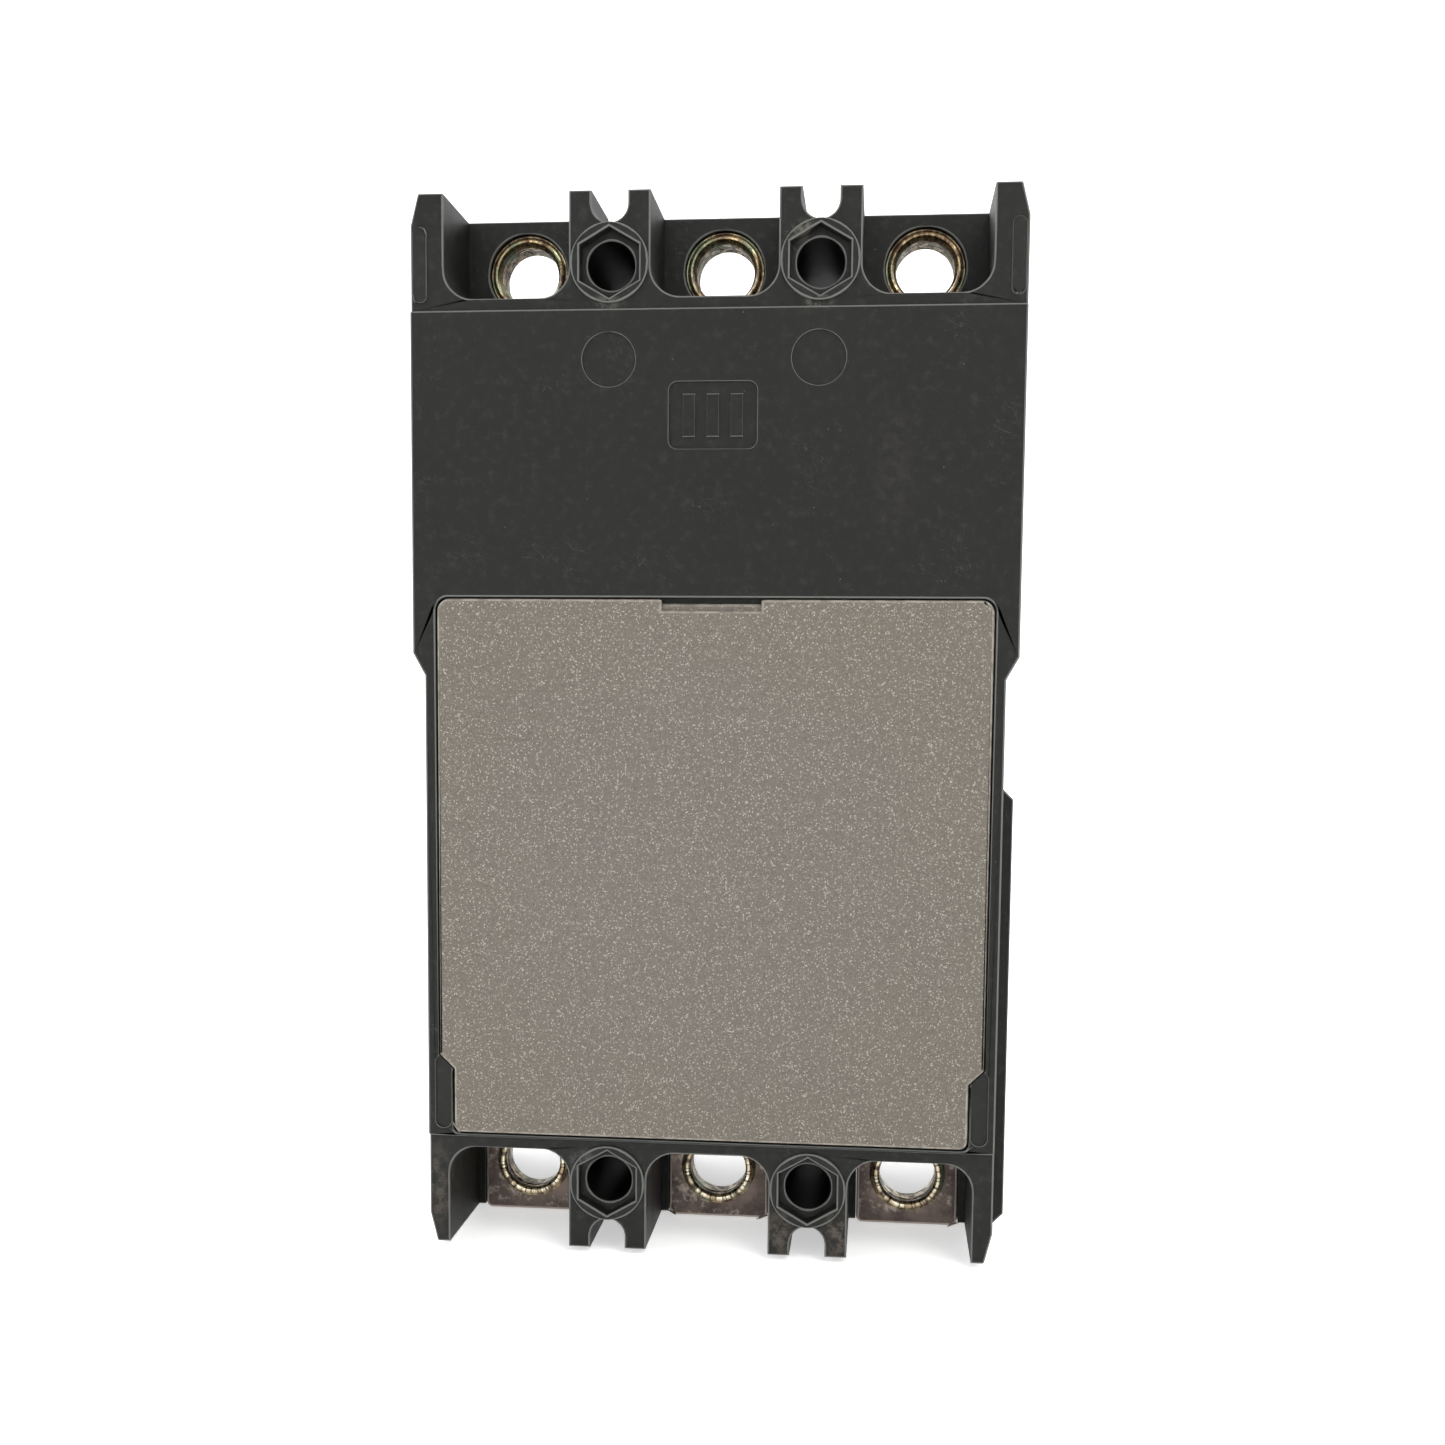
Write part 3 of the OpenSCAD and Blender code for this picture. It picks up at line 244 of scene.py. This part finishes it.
# Hair scratches: long thin lines in sparse groups
hair_scratches, given, made = group_tree(
    "hair_scratches", [("Place", "Vector", None), ("Turn", "Vector", (0.0, 0.0, 0.0))],
    [("Mask", "Float")])
laid = put(hair_scratches, "ShaderNodeMapping", {
    "Vector": given["Place"], "Rotation": given["Turn"]}).outputs[0]
drawn = put(hair_scratches, "ShaderNodeVectorMath", {
    0: laid, 1: (0.03, 0.6, 0.6)}, operation="MULTIPLY").outputs[0]
line = calculate(hair_scratches, "SUBTRACT", noise(hair_scratches, drawn, 1.0, 1.0, 0.5), 0.5)
line = calculate(hair_scratches, "ABSOLUTE", line)
line = ramp(hair_scratches, line, 0.0, 0.007, 1.0, 0.0)
sparse = ramp(hair_scratches, noise(hair_scratches, given["Place"], 0.09, 1.0), 0.56, 0.66)
hair_scratches.links.new(calculate(hair_scratches, "MULTIPLY", line, sparse), made["Mask"])

# Dust specks: small pale dots, a few on each square centimetre
dust_specks, given, made = group_tree(
    "dust_specks", [("Place", "Vector", None), ("Size", "Float", 0.06)], [("Mask", "Float")])
dots = put(dust_specks, "ShaderNodeTexVoronoi", {"Vector": given["Place"], "Scale": 0.42}, feature="F1")
chosen = put(dust_specks, "ShaderNodeSeparateColor", {0: dots.outputs["Color"]}).outputs[0]
dot = calculate(dust_specks, "LESS_THAN", dots.outputs["Distance"],
                calculate(dust_specks, "MULTIPLY", given["Size"], chosen))
dust_specks.links.new(dot, made["Mask"])


def soft_spot(tree, place, middle, reach):
    """Mask that fades from 1 at a point to 0 at the given reach along each axis, in millimetres."""
    offset = put(tree, "ShaderNodeVectorMath", {
        0: place, 1: [-c for c in middle]}, operation="ADD").outputs[0]
    shrunk = put(tree, "ShaderNodeVectorMath", {
        0: offset, 1: [1 / c for c in reach]}, operation="MULTIPLY").outputs[0]
    distance = put(tree, "ShaderNodeVectorMath", {0: shrunk}, operation="LENGTH").outputs["Value"]
    return ramp(tree, distance, 0.2, 1.0, 1.0, 0.0)


def moulding(name, colour, pale_rub_and_highlight_colour, roughness, rub_and_highlight_covers, spots=()):
    """Moulded resin finishes: plain skin, rubbed edges that also carry a painted highlight, scuffed pads, and
    painted shade on the walls of deep bores.
    """
    finishes = []
    kinds = (("", rub_and_highlight_covers[0], 0.25), ("_edge", rub_and_highlight_covers[1], 0.7), ("_scuffed", 1.0, 0.02), ("_bore", 0.0, 0.0))
    for kind, cover, share in kinds:
        is_painted_shade_bore = kind == "_bore"
        material, tree, shader, place = new_finish(
            name + kind, IOR=1.5, Specular_IOR_Level=0.05 if is_painted_shade_bore else 0.22)
        skin = place_group(tree, mould_skin, Place=place, Grain=2.2)
        tone = ramp(tree, skin["Tone"], 0.3, 0.7)
        # Painted shade: the bore finish is the resin at a quarter of its brightness, without mottle or marks,
        # so the deep bore walls read dark.
        shade = 0.25 if is_painted_shade_bore else 1.0
        body = blend_colours(
            tree, tone, [c * 0.78 * shade for c in colour], [c * 1.05 * shade for c in colour])
        grain = ramp(tree, skin["Height"], 0.35, 0.65, 0.0, 0.3)
        body = blend_colours(tree, grain, body, [c * 0.4 for c in colour])
        mottle = ramp(tree, noise(tree, place, 0.55, 4.0, 0.7), 0.5, 0.7, 0.0, 0.0 if is_painted_shade_bore else 0.8)
        body = blend_colours(tree, mottle, body, [c * 2.2 for c in colour])
        if not is_painted_shade_bore:
            # On the edge finish, with high cover and share, these pale patches are partly rubbed wear and
            # partly a painted highlight along the rounded edges.
            rubbed = place_group(tree, rub_marks, Place=place, Size=0.35, Cover=cover)["Mask"]
            body = blend_colours(tree, calculate(tree, "MULTIPLY", rubbed, share), body, pale_rub_and_highlight_colour)
            for turn, strength in (((0.0, 0.5, 0.2), 0.16), ((0.0, 1.4, 0.6), 0.12)):
                lines = place_group(tree, hair_scratches, Place=place, Turn=turn)["Mask"]
                body = blend_colours(tree, calculate(tree, "MULTIPLY", lines, strength), body, pale_rub_and_highlight_colour)
            dust = place_group(tree, dust_specks, Place=place, Size=0.05)["Mask"]
            body = blend_colours(tree, calculate(tree, "MULTIPLY", dust, 0.45), body, pale_rub_and_highlight_colour)
        for middle, reach, strength, tint in spots if kind == "" else ():
            broken = ramp(tree, noise(tree, place, 0.5, 5.0, 0.75), 0.42, 0.62)
            share_here = calculate(tree, "MULTIPLY", soft_spot(tree, place, middle, reach), broken)
            body = blend_colours(tree, calculate(tree, "MULTIPLY", share_here, strength), body, tint)
        tree.links.new(body, shader.inputs["Base Color"])
        tree.links.new(ramp(tree, skin["Tone"], 0.25, 0.75, roughness - 0.05, roughness + 0.08),
                       shader.inputs["Roughness"])
        bump = put(tree, "ShaderNodeBump", {"Height": skin["Height"], "Strength": 0.14, "Distance": 0.0002})
        tree.links.new(bump.outputs[0], shader.inputs["Normal"])
        finishes.append(material)
    return finishes


def rounded_copy(node, piece_name, finishes, width, fine_width=None, is_fine=None, special=(),
                 is_joined=False):
    """Copies a CAD node and rounds its outer edges, which take the second finish.

    Edges that is_fine picks are rounded by fine_width. Each test in special gives its faces the finish
    of its number. With is_joined, flat faces are joined before the edges are rounded.
    """
    clear_selection()
    source = frame["nodes"][node]
    source.select_set(True)
    bpy.context.view_layer.objects.active = source
    bpy.ops.object.duplicate(linked=False)
    piece = bpy.context.object
    piece.name = piece.data.name = piece_name
    piece.parent = None
    piece.matrix_world = Matrix.Identity(4)
    for key in [k for k in piece.keys() if k.startswith("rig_")]:
        del piece[key]
    piece.data.materials.clear()
    for material in finishes:
        piece.data.materials.append(material)
    if piece.data.has_custom_normals:
        bpy.ops.mesh.customdata_custom_splitnormals_clear()
    bpy.ops.object.mode_set(mode="EDIT")
    bpy.ops.mesh.select_mode(type="EDGE")
    bpy.ops.mesh.select_all(action="SELECT")
    bpy.ops.mesh.remove_doubles(threshold=2e-6)
    if is_joined:
        bpy.ops.mesh.dissolve_limited(angle_limit=math.radians(0.3))
    for fine, size in ((False, width), (True, fine_width)):
        if size is None:
            continue
        bpy.ops.mesh.select_all(action="DESELECT")
        mesh = bmesh.from_edit_mesh(piece.data)
        for e in mesh.edges:
            middle = (e.verts[0].co + e.verts[1].co) / 2
            sharp = len(e.link_faces) == 2 and e.calc_face_angle_signed(0) > math.radians(32)
            if sharp and fine == bool(is_fine and is_fine(middle)):
                e.select = True
        bmesh.update_edit_mesh(piece.data)
        bpy.ops.mesh.bevel(
            offset=size, segments=2, affect="EDGES", clamp_overlap=False, loop_slide=True, material=1)
    bpy.ops.object.mode_set(mode="OBJECT")
    for index, is_here in special:
        for polygon in piece.data.polygons:
            if is_here(polygon.center, polygon.normal):
                polygon.material_index = index
    bpy.ops.object.shade_smooth_by_angle(angle=math.radians(40))
    bpy.ops.object.modifier_add(type="WEIGHTED_NORMAL")
    piece.modifiers[-1].weight = 90
    piece.modifiers[-1].keep_sharp = True
    bpy.ops.object.modifier_apply(modifier=piece.modifiers[-1].name)
    return piece


def dress(piece, node, body, finishes=()):
    """Gives a piece its body and the given finishes, and hides the CAD node that it stands for."""
    for material in finishes:
        piece.data.materials.append(material)
    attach(piece, body)
    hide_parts(node)


def is_mark(point):
    """True in the shallow marks of the rear face."""
    shallow = point.y > -0.0008
    frame_mark = abs(point.x) < 0.0082 and 0.044 < point.z < 0.062
    disc_mark = math.hypot(abs(point.x) - 0.0175, point.z - 0.0624) < 0.0052
    pad_mark = abs(point.x) > 0.0445 and -0.0698 < point.z < -0.056
    return shallow and (frame_mark or disc_mark or pad_mark)


def is_deep_bore(point, normal):
    """True on the walls of the mounting holes, behind their nut pockets."""
    hole_x, hole_z, reach = 0.0175, 0.0782, 0.0048
    off = math.hypot(abs(point.x) - hole_x, abs(point.z) - hole_z)
    return off < reach and point.y < -0.0032 and abs(normal.y) < 0.5


def is_rubbing_pad(point, normal):
    """True on the raised pads at the line end and in the long marks at the load end."""
    at_line = abs(point.x) > 0.0462 and 0.0715 < point.z < 0.086 and point.y > -0.0004
    at_load = (
        0.0446 < abs(point.x) < 0.0486 and -0.0698 < point.z < -0.056 and -0.0005 < point.y < -0.0002)
    return (at_line or at_load) and normal.y > 0.5


# Each stain has its middle and reach in millimetres, its strength and its colour
scuff = (0.075, 0.062, 0.05)
case_stains = [
    ((-30, 0, 44), (5, 9, 15), 0.14, (0.06, 0.048, 0.036)),
    ((-22.5, 0, -86), (3.2, 12, 6), 0.75, scuff),
    ((-12.6, 0, -86), (3, 12, 6), 0.7, scuff),
    ((-14.5, 0, 82.5), (3.4, 4, 3), 0.8, (0.11, 0.1, 0.085)),
    ((18, 0, 71.6), (4, 3, 1.6), 0.6, (0.12, 0.115, 0.1)),
    ((-17.2, 0, 71.4), (3.4, 3, 1.4), 0.7, (0.13, 0.125, 0.1)),
    ((22, 0, -74.5), (3.2, 4, 3.2), 0.7, (0.08, 0.08, 0.075)),
    ((48, 0, -80), (4, 30, 12), 0.5, scuff),
]
# The pale second colour is rubbed wear on the faces and, on the rounded edges, partly a painted highlight.
case_finish = moulding(
    "case_resin", (0.0062, 0.0065, 0.0056), (0.135, 0.14, 0.13), 0.5, (0.12, 1.0), case_stains)
# Index 3 gives the mounting-bore walls the painted-shade bore finish.
base = rounded_copy("base", "case_base", case_finish, 0.0003, 0.0001, is_mark,
                    [(2, is_rubbing_pad), (3, is_deep_bore)])
dress(base, "base", "case")


# ---------------------------------------------------------------- Rear cover plate
# A separate warm grey plate closes the rear. Its paint holds bright flakes, and
# its rim is rounded and a little smoother.

plate_finish, tree, shader, place = new_finish("flecked_plate", IOR=1.45)
plate_middle_z = -24.0
centred = put(tree, "ShaderNodeVectorMath", {
    0: place, 1: (0.0, 0.0, -plate_middle_z)}, operation="ADD").outputs[0]
reach = put(tree, "ShaderNodeVectorMath", {0: centred}, operation="LENGTH").outputs["Value"]
middle_tone = ramp(tree, reach, 15.0, 60.0)
body = blend_colours(tree, middle_tone, (0.1, 0.087, 0.073), (0.097, 0.083, 0.062))
clouds = ramp(tree, noise(tree, place, 0.045, 3.0, 0.55), 0.35, 0.65)
body = blend_colours(tree, calculate(tree, "MULTIPLY", clouds, 0.35), body, (0.086, 0.078, 0.065))
cells = put(tree, "ShaderNodeTexVoronoi", {"Vector": place, "Scale": 5.2}, feature="F1")
pick = put(tree, "ShaderNodeSeparateColor", {0: cells.outputs["Color"]})
flake = ramp(tree, pick.outputs[0], 0.84, 1.0)
dark = ramp(tree, pick.outputs[1], 0.7, 0.95)
grain = noise(tree, place, 3.0, 3.0, 0.7)
body = blend_colours(tree, ramp(tree, grain, 0.35, 0.7, 0.0, 0.4), body, (0.137, 0.123, 0.103))
body = blend_colours(tree, calculate(tree, "MULTIPLY", dark, 0.6), body, (0.055, 0.048, 0.039))
body = blend_colours(tree, calculate(tree, "MULTIPLY", flake, 0.75), body, (0.34, 0.32, 0.28))
scratch = calculate(tree, "MULTIPLY", soft_spot(tree, place, (33, 0, -0.9), (6, 5, 0.35)),
                    ramp(tree, noise(tree, place, 0.9, 4.0, 0.7), 0.4, 0.55))
body = blend_colours(tree, calculate(tree, "MULTIPLY", scratch, 0.7), body, (0.07, 0.06, 0.045))
tree.links.new(body, shader.inputs["Base Color"])
tree.links.new(ramp(tree, grain, 0.3, 0.7, 0.46, 0.6), shader.inputs["Roughness"])
bump = put(tree, "ShaderNodeBump", {"Height": grain, "Strength": 0.2, "Distance": 0.0002})
tree.links.new(bump.outputs[0], shader.inputs["Normal"])
rim_finish, tree, shader, place = new_finish("plate_rim", IOR=1.45, Roughness=0.42)
worn = place_group(tree, rub_marks, Place=place, Size=0.4, Cover=0.6)["Mask"]
body = blend_colours(tree, worn, (0.135, 0.12, 0.1), (0.22, 0.2, 0.17))
tree.links.new(body, shader.inputs["Base Color"])
plate = rounded_copy("rear_cover", "rear_plate", [plate_finish, rim_finish], 0.00045)
dress(plate, "rear_cover", "case")


# ---------------------------------------------------------------- Terminal bars
# Flat copper bars, tarnished brown, with bright scuffs where lugs have rubbed
# and bare metal along their rounded edges.

def worn_copper(name, cover, share):
    """Tarnished copper under silvery scuffs."""
    material, tree, shader, place = new_finish(name, Metallic=0.85)
    patches = noise(tree, place, 0.22, 5.0, 0.65)
    body = blend_colours(tree, ramp(tree, patches, 0.35, 0.65), (0.075, 0.058, 0.052), (0.14, 0.108, 0.093))
    rubbed = place_group(tree, rub_marks, Place=place, Size=0.3, Cover=cover)["Mask"]
    body = blend_colours(tree, calculate(tree, "MULTIPLY", rubbed, share), body, (0.42, 0.36, 0.31))
    lines = place_group(tree, hair_scratches, Place=place, Turn=(0.0, 0.9, 0.3))["Mask"]
    body = blend_colours(tree, calculate(tree, "MULTIPLY", lines, 0.4), body, (0.5, 0.43, 0.37))
    tree.links.new(body, shader.inputs["Base Color"])
    tree.links.new(ramp(tree, patches, 0.3, 0.7, 0.52, 0.36), shader.inputs["Roughness"])
    bump = put(tree, "ShaderNodeBump", {"Height": patches, "Strength": 0.25, "Distance": 0.0003})
    tree.links.new(bump.outputs[0], shader.inputs["Normal"])
    return material


bar_finish = [worn_copper("tarnished_bar", 0.42, 0.55), worn_copper("bare_bar_edge", 0.95, 0.9)]
for end in ("line", "load"):
    for pole in "123":
        bar = rounded_copy(f"{end}_terminal_{pole}", f"{end}_bar_{pole}", bar_finish, 0.0005)
        dress(bar, f"{end}_terminal_{pole}", "case")


# ---------------------------------------------------------------- Terminal collars
# Turned collars pressed into the bars, yellow plated. The line ones are deep,
# with lines left by the tool in the bore. The load ones have a bright rolled lip
# with small cracks all round.

pole_pitch = 35.0
terminal_z = 80.9


def collar_finish(name, gold, brown, green_share, crack_share):
    """Yellow plate gone brown in its grooves; x, z and the angle are taken about each collar's own axis."""
    material, tree, shader, place = new_finish(name, Metallic=0.9)
    parts = put(tree, "ShaderNodeSeparateXYZ", {0: place}).outputs
    across = put(tree, "ShaderNodeMath", {
        0: parts[0], 1: pole_pitch / 2, 2: -pole_pitch / 2}, operation="WRAP").outputs[0]
    up = calculate(tree, "SUBTRACT", calculate(tree, "ABSOLUTE", parts[2]), terminal_z)
    angle = calculate(tree, "ARCTAN2", up, across)
    spread = put(tree, "ShaderNodeCombineXYZ", {
        0: calculate(tree, "MULTIPLY", angle, 5.2), 1: parts[1], 2: parts[0]}).outputs[0]
    stains = noise(tree, spread, 0.5, 5.0, 0.7)
    body = blend_colours(tree, ramp(tree, stains, 0.4, 0.62), brown, gold)
    green = ramp(tree, noise(tree, place, 0.2, 2.0), 0.5, 0.62, 0.0, green_share)
    body = blend_colours(tree, green, body, (0.2, 0.24, 0.15))
    turn = put(tree, "ShaderNodeCombineXYZ", {0: calculate(tree, "MULTIPLY", angle, 4.8)}).outputs[0]
    gaps = put(tree, "ShaderNodeTexVoronoi", {"Vector": turn, "Scale": 1.0}, feature="DISTANCE_TO_EDGE")
    crack = ramp(tree, gaps.outputs["Distance"], 0.02, 0.1, crack_share, 0.0)
    body = blend_colours(tree, crack, body, (0.03, 0.02, 0.014))
    tree.links.new(body, shader.inputs["Base Color"])
    tree.links.new(ramp(tree, stains, 0.35, 0.65, 0.45, 0.24), shader.inputs["Roughness"])
    bump = put(tree, "ShaderNodeBump", {"Height": stains, "Strength": 0.35, "Distance": 0.0002})
    tree.links.new(bump.outputs[0], shader.inputs["Normal"])
    return material


def turned_collar(name, height, profile, finish_rings):
    """Three collars drawn from one profile of (radius, depth) in millimetres.

    The rings that finish_rings picks by radius and depth take the second finish.
    """
    collars = []
    for pole_x in (-pole_pitch, 0, pole_pitch):
        clear_selection()
        radius, depth = profile[0]
        bpy.ops.mesh.primitive_circle_add(vertices=80, radius=radius / 1000, fill_type="NOTHING",
                                          location=(pole_x / 1000, -depth / 1000, height / 1000),
                                          rotation=(math.pi / 2, 0, 0))
        ring = bpy.context.object
        bpy.ops.object.transform_apply()
        bpy.ops.object.mode_set(mode="EDIT")
        bpy.ops.mesh.select_all(action="SELECT")
        for next_radius, next_depth in profile[1:]:
            step_back = (0, (depth - next_depth) / 1000, 0)
            bpy.ops.mesh.extrude_edges_move(TRANSFORM_OT_translate={"value": step_back})
            bpy.ops.transform.resize(
                value=(next_radius / radius, 1, next_radius / radius),
                center_override=(pole_x / 1000, -next_depth / 1000, height / 1000))
            radius, depth = next_radius, next_depth
        bpy.ops.mesh.select_all(action="SELECT")
        bpy.ops.mesh.remove_doubles(threshold=2e-6)
        bpy.ops.mesh.normals_make_consistent(inside=False)
        bpy.ops.object.mode_set(mode="OBJECT")
        collars.append(ring)
    clear_selection()
    for ring in collars:
        ring.select_set(True)
    bpy.context.view_layer.objects.active = collars[0]
    bpy.ops.object.join()
    whole = bpy.context.object
    whole.name = whole.data.name = name
    for polygon in whole.data.polygons:
        across = (polygon.center.x * 1000 + pole_pitch / 2) % pole_pitch - pole_pitch / 2
        from_axis = math.hypot(across, polygon.center.z * 1000 - height)
        if finish_rings(from_axis, -polygon.center.y * 1000):
            polygon.material_index = 1
    bpy.ops.object.shade_smooth_by_angle(angle=math.radians(35))
    return whole


tool_lines = [
    ring for k in range(6)
    for ring in ((5.12, 24.9 - 0.9 * k), (5.36, 24.65 - 0.9 * k), (5.12, 24.4 - 0.9 * k))]
line_profile = ([(5.12, 25.5)] + tool_lines + [
    (5.14, 19.9), (5.5, 19.6), (5.56, 18.95), (5.72, 18.6), (6.0, 18.5), (6.24, 18.62), (6.36, 18.9),
    (6.38, 19.2), (6.5, 19.24), (6.62, 19.1), (6.8, 19.1), (6.88, 19.25), (6.88, 21.48), (6.0, 21.48),
    (6.0, 25.5), (5.12, 25.5)])
load_profile = [
    (5.12, 25.5), (5.12, 22.4), (5.3, 22.2), (5.3, 21.9), (5.12, 21.7), (5.12, 20.7), (5.2, 20.25),
    (5.42, 19.98), (5.7, 19.9), (6.0, 19.95), (6.2, 20.15), (6.24, 20.4), (6.1, 20.5), (6.12, 20.7),
    (6.45, 20.75), (6.85, 20.95),
    (6.88, 21.48), (6.0, 21.48), (6.0, 25.5), (5.12, 25.5)]
collar_gold = collar_finish("collar_gold", (0.56, 0.43, 0.24), (0.12, 0.075, 0.045), 0.75, 0.25)
collar_lip = collar_finish("collar_lip", (0.92, 0.85, 0.66), (0.42, 0.32, 0.19), 0.1, 0.85)
collar_bore = collar_finish("collar_bore", (0.42, 0.33, 0.19), (0.09, 0.06, 0.04), 0.8, 0.15)
for end, profile, lip, inner in (
        ("line", line_profile, collar_gold, collar_bore), ("load", load_profile, collar_bore, collar_lip)):
    is_line = end == "line"
    is_second = (lambda r, d: d > 19.5 or r > 6.37) if is_line else (lambda r, d: d < 20.42)
    collars = turned_collar(f"{end}_collars", terminal_z if is_line else -terminal_z, profile, is_second)
    dress(collars, f"{end}_terminal_collars", "case", [lip, inner])


# ---------------------------------------------------------------- Front mouldings
# The cover and the accessory cover are moulded in a dark thermoplastic, a shade
# lighter than the base.

# As on the base, the pale edge finish is partly wear and partly a painted highlight.
front_finish = moulding("front_resin", (0.0125, 0.0135, 0.0128), (0.13, 0.13, 0.125), 0.45, (0.1, 0.8))
# Index 3 gives the cover's mounting-bore walls the painted-shade bore finish.
cover = rounded_copy(
    "cover", "front_cover", front_finish, 0.0004, special=[(3, is_deep_bore)], is_joined=True)
dress(cover, "cover", "case")
panel = rounded_copy("accessory_cover", "front_panel", front_finish, 0.00035, is_joined=True)
dress(panel, "accessory_cover", "case")


# ---------------------------------------------------------------- Metals and small parts
# Every node that shows its CAD shape takes the finish of its material slot.

def metal(name, colour, dull_colour, roughness, spread=0.12, scale=0.25):
    """Bare or plated metal with tarnish patches."""
    material, tree, shader, place = new_finish(name, Metallic=1.0)
    patches = noise(tree, place, scale, 5.0, 0.65)
    body = blend_colours(tree, ramp(tree, patches, 0.35, 0.65), dull_colour, colour)
    tree.links.new(body, shader.inputs["Base Color"])
    tree.links.new(ramp(tree, patches, 0.3, 0.7, roughness + spread, roughness), shader.inputs["Roughness"])
    grain = noise(tree, place, 3.0, 3.0, 0.6)
    bump = put(tree, "ShaderNodeBump", {"Height": grain, "Strength": 0.12, "Distance": 0.0001})
    tree.links.new(bump.outputs[0], shader.inputs["Normal"])
    return material


def resin(name, colour, roughness, shade=0.85):
    """Plain coloured moulding."""
    material, tree, shader, place = new_finish(name, IOR=1.48)
    skin = place_group(tree, mould_skin, Place=place, Grain=2.0)
    tone = ramp(tree, skin["Tone"], 0.3, 0.7)
    body = blend_colours(tree, tone, [c * shade for c in colour], colour)
    tree.links.new(body, shader.inputs["Base Color"])
    tree.links.new(
        ramp(tree, skin["Tone"], 0.2, 0.8, roughness, roughness + 0.08), shader.inputs["Roughness"])
    bump = put(tree, "ShaderNodeBump", {"Height": skin["Height"], "Strength": 0.1, "Distance": 0.0002})
    tree.links.new(bump.outputs[0], shader.inputs["Normal"])
    return material


finishes = {
    "copper": metal("tarnished_copper", (0.26, 0.19, 0.155), (0.10, 0.072, 0.062), 0.42, 0.2, 0.12),
    "plated_collar": metal("yellow_zinc", (0.80, 0.70, 0.48), (0.42, 0.31, 0.18), 0.28),
    "silver": metal("silver_alloy", (0.75, 0.74, 0.70), (0.5, 0.48, 0.45), 0.35),
    "steel": metal("bare_steel", (0.45, 0.46, 0.47), (0.3, 0.3, 0.3), 0.35),
    "zinc_screw": metal("zinc_plate", (0.36, 0.365, 0.37), (0.22, 0.22, 0.22), 0.34),
    "spring_steel": metal("spring_wire", (0.36, 0.37, 0.38), (0.24, 0.24, 0.24), 0.3),
    "braid_copper": metal("copper_braid", (0.62, 0.32, 0.2), (0.4, 0.2, 0.12), 0.45, 0.1, 1.5),
    "fibre": resin("fibre_board", (0.5, 0.42, 0.3), 0.8),
    "crossbar_resin": resin("brown_resin", (0.11, 0.05, 0.028), 0.5),
    "handle_black": resin("black_resin", (0.012, 0.012, 0.012), 0.4),
    "button_red": resin("red_resin", (0.26, 0.01, 0.006), 0.35),
    "dial_yellow": resin("yellow_resin", (0.4, 0.27, 0.012), 0.35),
    "label": resin("label_film", (0.36, 0.36, 0.35), 0.45, 0.97),
    "case_moulding": case_finish[0],
    "front_moulding": front_finish[0],
    "rear_plate": plate_finish,
}
for row in frame["record"]["subparts"]:
    body = frame["nodes"][row["node"]]
    body.data.materials.clear()
    body.data.materials.append(finishes[row["material_slot"]])
